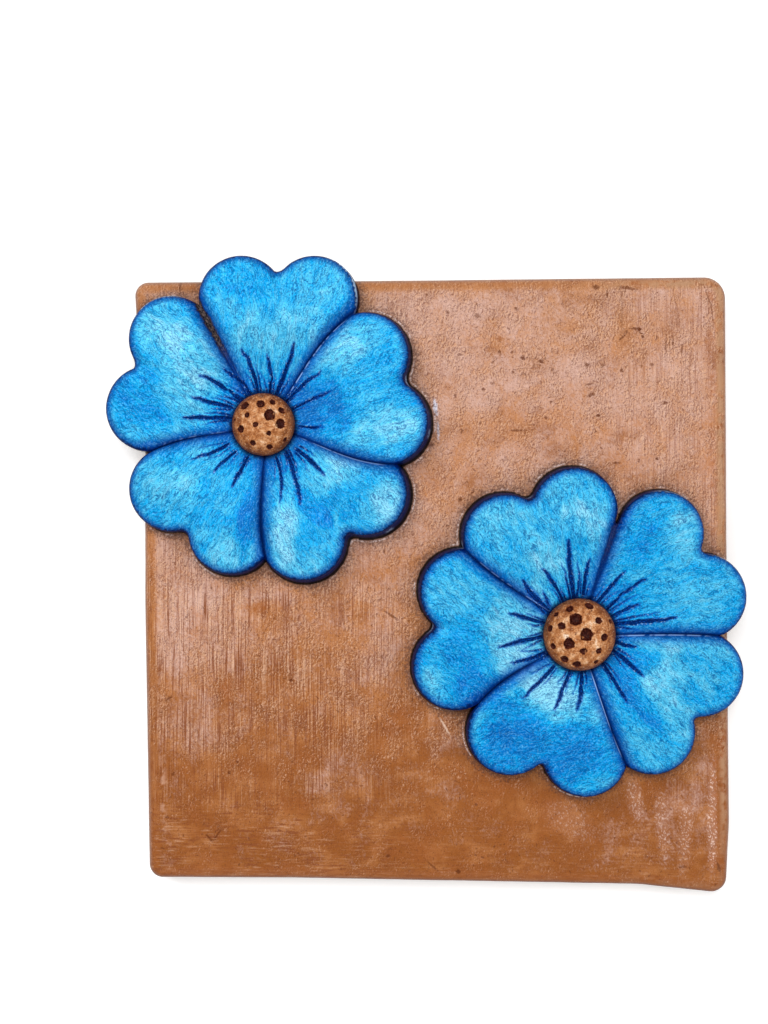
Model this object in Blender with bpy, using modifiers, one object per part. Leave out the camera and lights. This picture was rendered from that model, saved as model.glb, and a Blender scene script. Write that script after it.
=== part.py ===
"""Decorative wall tile: a hand-cut clay slab with two painted flowers laid on its face.

Frame: metres, +Z up. The tile lies on its back, the origin is at the middle of the back face,
+Y runs to the tile's top edge and +X to its right edge.
"""
import math

import bmesh
import bpy
from mathutils import Matrix, Vector

MM = 0.001

# Slab, in mm. A corner is X, Y and the radius that it is rounded to; the large radii are
# the slight bends of a side that was cut by hand.
SLAB_THICKNESS = 10.0
SLAB_TOP_ROUND = 2.6
SLAB_BACK_ROUND = 0.6
SLAB_CORNERS = (
    (-77.7, 76.8, 3.5),
    (-7.0, 77.3, 300.0),
    (74.2, 78.2, 5.5),
    (74.6, 0.0, 400.0),
    (75.2, -62.0, 60.0),
    (74.3, -80.2, 4.0),
    (52.0, -77.8, 60.0),
    (-35.0, -76.2, 300.0),
    (-73.7, -76.0, 3.5),
    (-74.9, -5.0, 300.0),
    (-74.9, 34.0, 60.0),
)

# Pieces that touch keep this much room, in mm.
SEAT_GAP = 0.3

# Flowers, in mm and degrees. Bearings run anticlockwise from +X. A petal is a heart of two
# round lobes, each given by its bearing and by how far its tip lies from the flower's middle.
LOBE_RADIUS = 10.8
HEART_SOFTNESS = 5.0
LEAST_REACH = 29.5
FLOWER_RISE = 6.5
LEAN_FOCUS = 2.5
RIM_ROUND = 2.0
DISH_DEPTH = 1.8
DISH_START = 9.5
DISH_END = 29.0
SEAM_DEPTH = 2.4
SEAM_DEPTH_INSIDE = 0.7
SEAM_HALF_WIDTH = 2.6

# A centre's section is an ellipse, made fuller at its sides by a power below 1.
CENTRE_FULLNESS = 0.85

FLOWERS = {
    "upper_left": {
        "middle": (-43.8, 39.8),
        "petals": (
            ((1, 41.5), (34, 42.0)),
            ((68, 45.0), (100, 43.0)),
            ((137, 42.5), (172, 40.0)),
            ((215, 39.0), (253, 39.0)),
            ((289, 41.0), (326, 41.5)),
        ),
        # The side wall leans out most towards this bearing: bearing, least and most lean.
        "lean": (-30, 0.3, 1.5),
        "centre_radius": 7.9,
        "centre_height": 5.4,
        # Pits of the centre: X and Y as parts of its radius, then the width in mm.
        "pits": (
            (-0.56, 0.57, 2.2),
            (-0.04, 0.63, 2.0),
            (0.33, 0.69, 1.5),
            (0.62, 0.42, 1.6),
            (0.25, 0.27, 2.8),
            (-0.47, 0.26, 1.2),
            (0.59, -0.01, 2.5),
            (-0.20, -0.04, 1.3),
            (-0.67, -0.18, 1.8),
            (-0.29, -0.61, 1.5),
            (0.24, -0.74, 1.5),
            (0.70, -0.50, 1.2),
        ),
    },
    "lower_right": {
        "middle": (35.6, -13.0),
        "petals": (
            ((17, 43.5), (51, 43.5)),
            ((92, 42.0), (127, 41.5)),
            ((160, 42.0), (195, 43.0)),
            ((235, 41.0), (273, 41.0)),
            ((307, 41.5), (342, 43.0)),
        ),
        "lean": (135, 0.25, 0.8),
        "centre_radius": 9.1,
        "centre_height": 6.0,
        "pits": (
            (-0.33, 0.74, 1.8),
            (-0.18, 0.47, 3.0),
            (0.45, 0.43, 1.7),
            (-0.56, 0.28, 1.8),
            (0.11, 0.05, 3.1),
            (0.61, -0.03, 1.8),
            (-0.37, -0.20, 2.7),
            (-0.76, -0.29, 1.5),
            (0.03, -0.41, 1.8),
            (0.46, -0.41, 1.5),
            (-0.47, -0.62, 1.8),
            (-0.13, -0.76, 1.9),
        ),
    },
}

# How finely the round shapes are cut into flats.
ARC_STEP = math.radians(15)
BEARINGS_PER_PETAL = 24
RIM_STEPS = 3
FACE_FRACTIONS = (0.90, 0.76, 0.62, 0.48, 0.34, 0.24)
CENTRE_SIDES = 36
CENTRE_STEPS = 9
PIT_SIDES = 12
PIT_RINGS = 8


def clear_scene():
    """Remove whatever the scene holds, so that the file gives the same result each time."""
    for old in list(bpy.data.objects):
        bpy.data.objects.remove(old, do_unlink=True)


def new_collection(name):
    """Make a collection under the scene's own."""
    collection = bpy.data.collections.new(name)
    bpy.context.scene.collection.children.link(collection)
    return collection


def clay_material(name, colour, roughness):
    """Make a plain finish from a colour and a roughness."""
    material = bpy.data.materials.new(name)
    material.use_nodes = True
    shader = material.node_tree.nodes["Principled BSDF"]
    shader.inputs["Base Color"].default_value = (*colour, 1.0)
    shader.inputs["Roughness"].default_value = roughness
    shader.inputs["Metallic"].default_value = 0.0
    return material


def object_from_bmesh(name, bm, collection, material=None):
    """Turn a bmesh into a named object in a collection."""
    mesh = bpy.data.meshes.new(name)
    bm.to_mesh(mesh)
    bm.free()
    if material:
        mesh.materials.append(material)
    obj = bpy.data.objects.new(name, mesh)
    collection.objects.link(obj)
    return obj


def shade_round(obj):
    """Shade the soft forms smooth and keep the crisp edges crisp."""
    obj.data.shade_smooth()
    obj.data.set_sharp_from_angle(angle=math.radians(40))


# Slab

def rounded_corner(before, corner, after, radius):
    """Give the points of the arc that rounds one corner of an outline."""
    arm_in = (before - corner).normalized()
    arm_out = (after - corner).normalized()
    turn = math.pi - arm_in.angle(arm_out)
    reach = radius * math.tan(turn / 2)
    start = corner + arm_in * reach
    end = corner + arm_out * reach
    middle = corner + (arm_in + arm_out).normalized() * (radius / math.cos(turn / 2))
    steps = max(1, math.ceil(turn / ARC_STEP))
    points = []
    for step in range(steps + 1):
        spoke = start.lerp(end, step / steps) - middle
        points.append(middle + spoke.normalized() * radius)
    return points


def slab_outline():
    """Give the slab's outline, clockwise, with its corners rounded."""
    points = []
    count = len(SLAB_CORNERS)
    for index, (x, y, radius) in enumerate(SLAB_CORNERS):
        before = Vector(SLAB_CORNERS[index - 1][:2])
        after = Vector(SLAB_CORNERS[(index + 1) % count][:2])
        points.extend(rounded_corner(before, Vector((x, y)), after, radius))
    return points


def make_slab(collection, material):
    """Cut the slab to its outline, then round its face edge well and its back edge a little."""
    bm = bmesh.new()
    foot = [bm.verts.new((p.x * MM, p.y * MM, 0.0)) for p in slab_outline()]
    back = bm.faces.new(foot)
    risen = bmesh.ops.extrude_face_region(bm, geom=[back])["geom"]
    top_verts = [item for item in risen if isinstance(item, bmesh.types.BMVert)]
    bmesh.ops.translate(bm, verts=top_verts, vec=(0.0, 0.0, SLAB_THICKNESS * MM))
    bmesh.ops.recalc_face_normals(bm, faces=bm.faces)
    weight = bm.edges.layers.float.new("bevel_weight_edge")
    for edge in bm.edges:
        heights = [vert.co.z for vert in edge.verts]
        if min(heights) > 0:
            edge[weight] = 1.0
        elif max(heights) == 0:
            edge[weight] = SLAB_BACK_ROUND / SLAB_TOP_ROUND
    slab = object_from_bmesh("slab", bm, collection, material)
    rounding = slab.modifiers.new("rounded edges", "BEVEL")
    rounding.limit_method = "WEIGHT"
    rounding.width = SLAB_TOP_ROUND * MM
    rounding.segments = 3
    shade_round(slab)


# Flowers

def angle_between(bearing, other):
    """Give the angle from one bearing to another, in radians, between -pi and pi."""
    return math.remainder(math.radians(bearing - other), 2 * math.pi)


def lobe_edge(bearing, lobe):
    """Give how far a lobe reaches along a bearing, or 0 where the bearing misses it."""
    lobe_bearing, reach = lobe
    turn = angle_between(bearing, lobe_bearing)
    stem = reach - LOBE_RADIUS
    room = LOBE_RADIUS ** 2 - (stem * math.sin(turn)) ** 2
    if room < 0 or math.cos(turn) < 0:
        return 0.0
    return stem * math.cos(turn) + math.sqrt(room)


def petal_edge(bearing, petal):
    """Give a petal's edge along a bearing: the outer of its two lobes, blended at the heart."""
    first, second = (lobe_edge(bearing, lobe) for lobe in petal)
    blend = max(HEART_SOFTNESS - abs(first - second), 0.0)
    return max(first, second) + blend ** 2 / (4 * HEART_SOFTNESS)


def flower_edge(bearing, petals):
    """Give the outline of the whole flower along a bearing."""
    return max(LEAST_REACH, *(petal_edge(bearing, petal) for petal in petals))


def wall_lean(bearing, lean):
    """Give how far out the foot of the side wall stands along a bearing."""
    towards, least, most = lean
    facing = (1 + math.cos(angle_between(bearing, towards))) / 2
    return least + (most - least) * facing ** LEAN_FOCUS


def seam_bearings(petals):
    """Give the bearing of the seam before each petal, midway between the two lobes there."""
    seams = []
    for index, petal in enumerate(petals):
        own = petal[0][0]
        neighbour = petals[index - 1][1][0]
        seams.append(own - math.degrees(angle_between(own, neighbour)) / 2)
    return seams


def mesh_bearings(petals):
    """Spread the mesh's bearings evenly inside each petal, with one on every seam."""
    seams = seam_bearings(petals)
    seams.append(seams[0] + 360.0)
    bearings = []
    for start, end in zip(seams, seams[1:]):
        for step in range(BEARINGS_PER_PETAL):
            bearings.append(start + (end - start) * step / BEARINGS_PER_PETAL)
    return bearings


def smooth_step(value, low, high):
    """Rise smoothly from 0 at low to 1 at high."""
    part = min(max((value - low) / (high - low), 0.0), 1.0)
    return part * part * (3 - 2 * part)


def face_height(distance, bearing, seams):
    """Give the height of the petals' face over the foot: a dish cut by the five seams."""
    away = smooth_step(distance, DISH_START, DISH_END)
    height = FLOWER_RISE - SEAT_GAP - DISH_DEPTH * (1 - away)
    depth = SEAM_DEPTH_INSIDE + (SEAM_DEPTH - SEAM_DEPTH_INSIDE) * away
    depth *= smooth_step(distance, 0.0, DISH_START)
    for seam in seams:
        turn = angle_between(bearing, seam)
        if math.cos(turn) > 0:
            aside = abs(distance * math.sin(turn))
            height -= depth * (1 - smooth_step(aside, 0.0, SEAM_HALF_WIDTH))
    return height


def flower_rings():
    """List the flower's rings from the middle of the foot, out and up, to the rim.

    A ring is the part of the way out to the petal's edge, the distance past that edge
    and the drop below the face, in mm. A ring on the foot has no drop.
    """
    foot = [(0.5, 0.0, None), (1.0, 0.0, None)]
    rim = []
    for step in range(RIM_STEPS + 1):
        turn = math.pi / 2 * step / RIM_STEPS
        rim.append((1.0, -RIM_ROUND * (1 - math.cos(turn)), RIM_ROUND * (1 - math.sin(turn))))
    face = [(fraction, 0.0, 0.0) for fraction in FACE_FRACTIONS]
    return foot + rim + face


def make_flower(name, spec, collection, material):
    """Shape a flower from a sphere: each of its rings becomes one ring of the flower."""
    petals = spec["petals"]
    seams = seam_bearings(petals)
    bearings = mesh_bearings(petals)
    rings = flower_rings()
    bm = bmesh.new()
    bmesh.ops.create_uvsphere(bm, u_segments=len(bearings), v_segments=len(rings) + 1, radius=1.0)
    for vert in bm.verts:
        spot = vert.co.normalized()
        ring = round((math.asin(spot.z) / math.pi + 0.5) * (len(rings) + 1)) - 1
        if ring < 0:
            vert.co = (0.0, 0.0, 0.0)
            continue
        if ring == len(rings):
            vert.co = (0.0, 0.0, face_height(0.0, 0.0, seams) * MM)
            continue
        turn = round(math.atan2(spot.y, spot.x) / (2 * math.pi) * len(bearings))
        bearing = bearings[turn % len(bearings)]
        part, past, drop = rings[ring]
        distance = flower_edge(bearing, petals) * part + past
        if drop is None:
            distance += wall_lean(bearing, spec["lean"]) * part
            height = 0.0
        else:
            height = face_height(distance, bearing, seams) - drop
        place = Matrix.Rotation(math.radians(bearing), 3, "Z") @ Vector((distance, 0.0, height))
        vert.co = place * MM
    flower = object_from_bmesh("flower_" + name, bm, collection, material)
    x, y = spec["middle"]
    flower.location = Vector((x, y, SLAB_THICKNESS + SEAT_GAP)) * MM
    shade_round(flower)


# Centres

def centre_profile(radius, height):
    """Give half of the centre's section, from its crown down the outer side to its foot."""
    points = []
    for step in range(CENTRE_STEPS + 1):
        turn = math.pi / 2 * step / CENTRE_STEPS
        points.append((radius * math.sin(turn) ** CENTRE_FULLNESS, height * math.cos(turn)))
    points.append((0.0, 0.0))
    return points


def make_pit_cutter(name, spec, collection):
    """Set one ball for each pit with its middle on the centre's surface."""
    radius = spec["centre_radius"]
    bm = bmesh.new()
    for across, up, width in spec["pits"]:
        way_out = math.hypot(across, up) ** (1 / CENTRE_FULLNESS)
        height = spec["centre_height"] * math.sqrt(1 - way_out ** 2)
        place = Matrix.Translation(Vector((across * radius, up * radius, height)) * MM)
        bmesh.ops.create_uvsphere(
            bm, u_segments=PIT_SIDES, v_segments=PIT_RINGS, radius=width / 2 * MM, matrix=place
        )
    cutter = object_from_bmesh("pits_" + name, bm, collection)
    cutter.hide_render = True
    cutter.display_type = "WIRE"
    return cutter


def make_centre(name, spec, collection, cutters, material):
    """Turn the ball of clay at the flower's middle, flat on its foot, and press its pits."""
    profile = centre_profile(spec["centre_radius"], spec["centre_height"])
    bm = bmesh.new()
    verts = [bm.verts.new((out * MM, 0.0, height * MM)) for out, height in profile]
    for upper, lower in zip(verts, verts[1:]):
        bm.edges.new((upper, lower))
    centre = object_from_bmesh("centre_" + name, bm, collection, material)
    turning = centre.modifiers.new("turned", "SCREW")
    turning.steps = CENTRE_SIDES
    turning.render_steps = CENTRE_SIDES
    turning.use_merge_vertices = True
    turning.merge_threshold = 0.00001
    pressing = centre.modifiers.new("pits", "BOOLEAN")
    pressing.object = make_pit_cutter(name, spec, cutters)
    x, y = spec["middle"]
    seat = SLAB_THICKNESS + FLOWER_RISE - DISH_DEPTH + SEAT_GAP
    centre.location = Vector((x, y, seat)) * MM
    pressing.object.location = centre.location


def main():
    """Build the tile's five pieces."""
    clear_scene()
    tile = new_collection("decorative_tile")
    cutters = new_collection("cutters")
    slab_clay = clay_material("slab_clay", (0.42, 0.20, 0.09), 0.45)
    petal_paint = clay_material("petal_paint", (0.02, 0.27, 0.72), 0.40)
    centre_clay = clay_material("centre_clay", (0.50, 0.27, 0.13), 0.55)
    make_slab(tile, slab_clay)
    for name, spec in FLOWERS.items():
        make_flower(name, spec, tile, petal_paint)
        make_centre(name, spec, tile, cutters, centre_clay)


main()
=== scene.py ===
"""Looks of the decorative tile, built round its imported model.

Frame: metres, +Z up. The tile lies on its back on Z = 0, +Y runs to its top edge and +X to its
right edge. Sizes in this file are in mm and bearings in degrees, anticlockwise from +X.
"""

import math

import bpy
import numpy as np
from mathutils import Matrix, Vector


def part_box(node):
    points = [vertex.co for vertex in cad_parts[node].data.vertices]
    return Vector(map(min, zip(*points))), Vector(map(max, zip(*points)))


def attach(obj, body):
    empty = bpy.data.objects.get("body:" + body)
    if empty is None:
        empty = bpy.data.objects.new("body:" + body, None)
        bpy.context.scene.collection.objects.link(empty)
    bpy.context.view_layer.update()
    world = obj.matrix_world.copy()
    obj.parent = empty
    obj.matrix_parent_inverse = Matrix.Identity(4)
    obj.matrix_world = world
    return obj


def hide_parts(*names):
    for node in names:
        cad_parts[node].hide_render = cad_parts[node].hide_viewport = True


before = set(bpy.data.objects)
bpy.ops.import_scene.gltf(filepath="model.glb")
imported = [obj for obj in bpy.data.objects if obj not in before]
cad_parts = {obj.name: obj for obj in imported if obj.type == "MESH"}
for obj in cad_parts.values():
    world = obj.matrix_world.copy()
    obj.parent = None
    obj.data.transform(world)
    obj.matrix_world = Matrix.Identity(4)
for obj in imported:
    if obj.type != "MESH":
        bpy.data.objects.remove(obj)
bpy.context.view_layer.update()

MM = 0.001

# The noise repeats after this many lumps, and distances are worked out for this many places at once.
LATTICE = 128
BATCH = 4000

# The seeds of the first flower and its centre, and the step to the next one's.
FLOWER_SEED = 40
CENTRE_SEED = 60
SEED_STEP = 10

# Slab: each corner is X, Y and the radius that it is rounded to.
SLAB_CORNERS = (
    (-77.7, 76.8, 3.5),
    (-7.0, 77.3, 300.0),
    (74.2, 78.2, 5.5),
    (74.6, 0.0, 400.0),
    (75.2, -62.0, 60.0),
    (74.3, -80.2, 4.0),
    (52.0, -77.8, 60.0),
    (-35.0, -76.2, 300.0),
    (-73.7, -76.0, 3.5),
    (-74.9, -5.0, 300.0),
    (-74.9, 34.0, 60.0),
)
SLAB_CELLS = 264
EDGE_ROUND = 3.3
EDGE_RINGS = 9
WALL_RINGS = 5
BACK_ROUND = 0.6
SLAB_SWELL = 0.10
SLAB_GRAIN = 0.03
EDGE_WAVER = 0.18
WALL_DENT = 0.25
LOWER_LEFT = (-78.0, -76.0)

# Where the slab is pale and pinkish, partly stain and partly painted sheen of the varnish, or the
# stain is wiped deep: X and Y of the middle, half length, half width, bearing of the length, and
# strength. A minus is deeper.
SLAB_TONE_PATCHES = (
    (-58.0, -15.0, 15, 13, 0, 0.40),
    (-27.0, -16.0, 15, 12, 0, 0.30),
    (-65.5, -5.0, 8, 6, 0, 0.25),
    (-54.0, -26.5, 5, 2.5, 90, -0.60),
    (-45.0, -6.6, 3, 2, 0, -0.50),
    (-21.0, -7.0, 4, 4, 0, -0.30),
    (31.0, 38.5, 17, 6, 0, -0.35),
    (14.0, 39.5, 13, 5, 0, -0.45),
    (36.0, 54.0, 6, 4.5, 0, 0.35),
    (8.0, 70.0, 10, 3, 0, 0.30),
    (3.0, 24.0, 15, 8, 90, -0.30),
    (46.7, 65.5, 6, 3, 90, -0.45),
    (49.0, 26.0, 8, 4, 0, -0.30),
    (-1.8, 64.0, 12, 10, 0, 0.25),
    (16.0, 54.0, 14, 8, 0, 0.15),
    (-25.5, -50.0, 9, 6, 20, 0.60),
    (-27.0, -59.0, 9, 3, 15, 0.45),
    (-28.0, -37.0, 5, 3, 0, -0.40),
    (-33.0, -46.6, 5, 2.5, 0, -0.40),
    (-36.0, -57.7, 6, 3, 0, -0.35),
    (-9.5, -66.6, 9, 3, 0, -0.30),
    (2.0, -55.0, 6, 4, 0, 0.25),
    (-66.8, -36.5, 8, 7, 0, 0.20),
    (52.0, -63.0, 17, 9, 10, 0.25),
    (67.5, -58.0, 20, 2.5, 90, 0.50),
    (62.0, -53.0, 8, 6, 90, 0.25),
    (21.0, -56.0, 16, 8, 0, -0.20),
    (1.0, -71.0, 9, 4, 0, -0.35),
    (-62.0, -36.0, 10, 12, 0, 0.35),
    (-45.0, -38.0, 10, 8, 0, 0.20),
    (16.5, 60.5, 4, 3, 0, -0.45),
    (34.3, 64.8, 3.5, 2, 0, -0.40),
    (62.0, 56.0, 8, 6, 90, 0.25),
    (50.0, 46.0, 9, 6, 0, 0.20),
)

# Where the slab gets a painted sheen and painted sparkle specks: the same, with strength last.
SLAB_SPARKLE = (
    (34.0, -61.0, 7, 4.0, -35, 0.4),
    (50.5, -55.0, 5, 2, 100, 0.8),
    (57.5, -62.0, 9, 1.8, 95, 0.7),
    (63.5, -64.0, 9, 1.8, 85, 0.7),
    (70.2, -60.0, 14, 1.3, 90, 1.3),
    (-64.5, -12.0, 14, 3, 90, 0.3),
)

# Small marks on the slab, by tone: pinholes and cracks, wear, bare clay, scrapes, and painted
# glints of the varnish. X and Y of the middle, half length, half width, bearing of the length, and
# strength.
DARK, WORN, BARE, PALE, PAINTED_GLINT = 0.0, 0.18, 0.3, 0.6, 1.0
SLAB_MARKS = {
    DARK: (
        (51.6, 64.4, 0.6, 0.5, 0, 1.0),
        (50.3, 64.6, 1.1, 0.28, 0, 0.8),
        (40.5, 75.2, 0.8, 0.6, 0, 1.0),
        (43.4, 73.3, 0.8, 0.25, 90, 0.8),
        (48.7, 74.9, 2.2, 0.4, -10, 0.7),
        (47.2, 69.0, 6.0, 0.3, 90, 0.35),
        (52.5, 62.5, 0.4, 0.4, 0, 0.9),
        (56.1, 31.4, 0.4, 0.4, 0, 0.9),
        (5.4, -73.9, 0.6, 0.5, 0, 1.0),
        (5.9, 20.9, 0.5, 0.5, 0, 0.8),
        (-12.5, -69.9, 0.4, 0.4, 0, 0.8),
        (-37.2, -25.1, 0.4, 0.4, 0, 0.9),
        (45.7, 30.3, 0.9, 0.25, 0, 0.8),
        (-65.5, 75.2, 1.8, 0.25, 90, 0.8),
        (-11.6, -8.6, 2.2, 0.3, -32, 0.7),
        (-1.1, -72.5, 2.5, 0.25, -41, 0.6),
        (62.5, -72.7, 0.9, 0.35, 0, 0.7),
        (71.9, -72.8, 1.6, 0.35, -70, 0.8),
        (-68.3, -29.7, 1.0, 0.28, 35, 0.8),
        (-58.0, -65.4, 1.2, 0.25, -54, 0.7),
        (-56.1, -64.6, 2.2, 0.25, 52, 0.7),
        (-67.2, -49.0, 0.4, 0.4, 0, 0.7),
        (-53.0, -48.6, 0.4, 0.4, 0, 0.7),
        (-51.0, -45.9, 0.35, 0.35, 0, 0.7),
        (10.3, 67.8, 0.8, 0.6, 0, 0.6),
        (20.2, 69.6, 0.4, 0.4, 0, 0.8),
        (15.9, 58.6, 0.4, 0.4, 0, 0.8),
        (21.9, 57.1, 0.55, 0.5, 0, 0.9),
        (26.6, 56.2, 0.55, 0.5, 0, 0.9),
        (19.4, 53.5, 0.4, 0.4, 0, 0.7),
        (27.8, 41.9, 0.4, 0.4, 0, 0.8),
        (29.1, 45.9, 0.4, 0.4, 0, 0.7),
        (5.9, 57.9, 0.7, 0.35, -25, 0.7),
        (20.2, 38.6, 1.6, 0.25, 0, 0.7),
        (69.0, 73.0, 2.8, 0.20, -70, 0.6),
        (70.3, 67.5, 3.2, 0.20, -84, 0.5),
        (62.5, 59.4, 1.6, 0.22, 88, 0.7),
        (60.2, 61.4, 1.9, 0.20, 90, 0.6),
        (58.4, 60.4, 2.2, 0.20, 90, 0.6),
        (58.2, 45.7, 0.5, 0.4, 0, 0.8),
        (54.9, 55.4, 0.5, 0.4, 0, 0.7),
        (47.1, 53.8, 0.5, 0.4, 0, 0.8),
        (42.3, 55.1, 0.6, 0.4, 30, 0.7),
        (38.4, 55.3, 0.6, 0.4, 20, 0.8),
        (47.3, 62.3, 1.2, 0.25, 42, 0.8),
        (39.2, 47.6, 0.9, 0.5, 20, 0.8),
        (38.9, 50.4, 0.9, 0.3, 10, 0.7),
        (41.1, 42.4, 0.5, 0.4, 0, 0.9),
        (29.6, 54.1, 0.4, 0.35, 0, 0.7),
        (19.1, 58.6, 0.4, 0.35, 0, 0.7),
        (14.2, 56.0, 0.7, 0.25, 50, 0.6),
        (11.8, 49.1, 0.4, 0.35, 0, 0.7),
        (4.6, 47.5, 0.45, 0.35, 0, 0.7),
        (-1.5, 34.9, 0.6, 0.5, 40, 0.8),
    ),
    WORN: (
        (69.3, 61.3, 4.2, 0.9, 86, 0.45),
        (70.6, 56.6, 2.6, 0.5, 92, 0.40),
        (70.2, 51.6, 2.2, 0.6, 88, 0.35),
        (64.9, 57.1, 2.0, 0.6, 88, 0.35),
        (15.9, 62.0, 1.0, 0.5, 0, 0.6),
    ),
    PALE: (
        (2.0, -36.9, 2.6, 0.28, -60, 0.7),
    ),
    BARE: (
        (-53.6, -26.6, 4.0, 1.6, 90, 0.35),
        (-45.6, -6.7, 2.4, 1.3, 10, 0.5),
    ),
    PAINTED_GLINT: (
        (-8.7, 51.3, 1.3, 0.6, 60, 0.8),
        (-0.4, 44.6, 1.9, 0.55, -82, 0.8),
        (0.3, 38.4, 2.2, 0.35, -88, 0.6),
        (-6.2, 31.6, 0.9, 0.28, 35, 0.6),
        (-22.0, 10.2, 0.9, 0.22, 70, 0.5),
    ),
}
# A mark is drawn no further than this from its own half length and half width.
MARK_GAP = 0.6
MARK_STRENGTH = 1.05

# Washes of stain or paint: where one fades out, as parts of its size, and how its edge wanders.
SOFT_EDGE = (0.45, 1.35)
CRISP_EDGE = (0.90, 1.06)
WASH_WANDER = 0.22
WASH_LUMPS = 4.5

# Flowers: a petal is a heart of two round lobes, each a bearing and the reach of its tip.
LOBE_RADIUS = 10.8
HEART_SOFTNESS = 5.0
LEAST_REACH = 29.5
DISH_DEPTH = 1.8
DISH_START = 9.5
DISH_END = 29.0
RIM_WIDTH = 2.4
RIM_DEPTH = 2.2
# The seams between petals: their sizes near the centre, then out at the rim.
SEAM_WIDTH = (1.7, 3.2)
SEAM_DEPTH = (0.7, 2.7)
CREASE_LENGTH = 12.0
CREASE_DEPTH = 0.45
CREASE_WIDTH = 2.6
PETAL_SWELL = 0.22
CRINKLE_DEPTH = 0.055
# Distances from the flower's middle over which the petals start to swell and lose their shade,
# the bare clay of a seam comes to show and a seam's painted glint sets in, and, inwards from the
# rim, where that glint ends.
PETAL_START = (8.0, 16.0)
CLAY_START = (17.0, 25.0)
GLINT_START = (9.0, 13.0)
GLINT_END = (5.0, 2.0)
WALL_RIPPLE = 0.10
WALL_FLARE = 1.2
LEAN_FOCUS = 2.5
# How finely a flower is modelled. The rings of its face lie closer together towards the rim.
INNER_RING = 6.0
BEARINGS_PER_PETAL = 172
FACE_RINGS = 86
RING_CROWDING = 1.5
FLOWER_WALL_RINGS = 8
UNDERSIDE_RINGS = (0.7, 0.35)

# Veins: the groove's depth at its widest, half that width, how ragged its edges are, the step
# along it and the number of points that a vein is drawn with.
VEIN_DEPTH = 0.75
VEIN_FULL_HALF_WIDTH = 0.5
VEIN_RAGGEDNESS = 1.7
VEIN_STEP = 0.15
VEIN_POINTS = 11
# How a vein bends and trembles, and how its width tapers. Its side veins: how many degrees they
# lie off it at the start and how much that grows, then their length and width as parts of its own.
VEIN_BEND = 0.30
VEIN_TREMBLE = 0.17
VEIN_TAPER = (1.10, 0.65)
SIDE_VEIN_SWING = (3.0, 6.5)
SIDE_VEIN_SPREAD = 1.3
SIDE_VEIN_LENGTH = (0.35, 0.75)
SIDE_VEIN_WIDTH = 0.45

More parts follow.
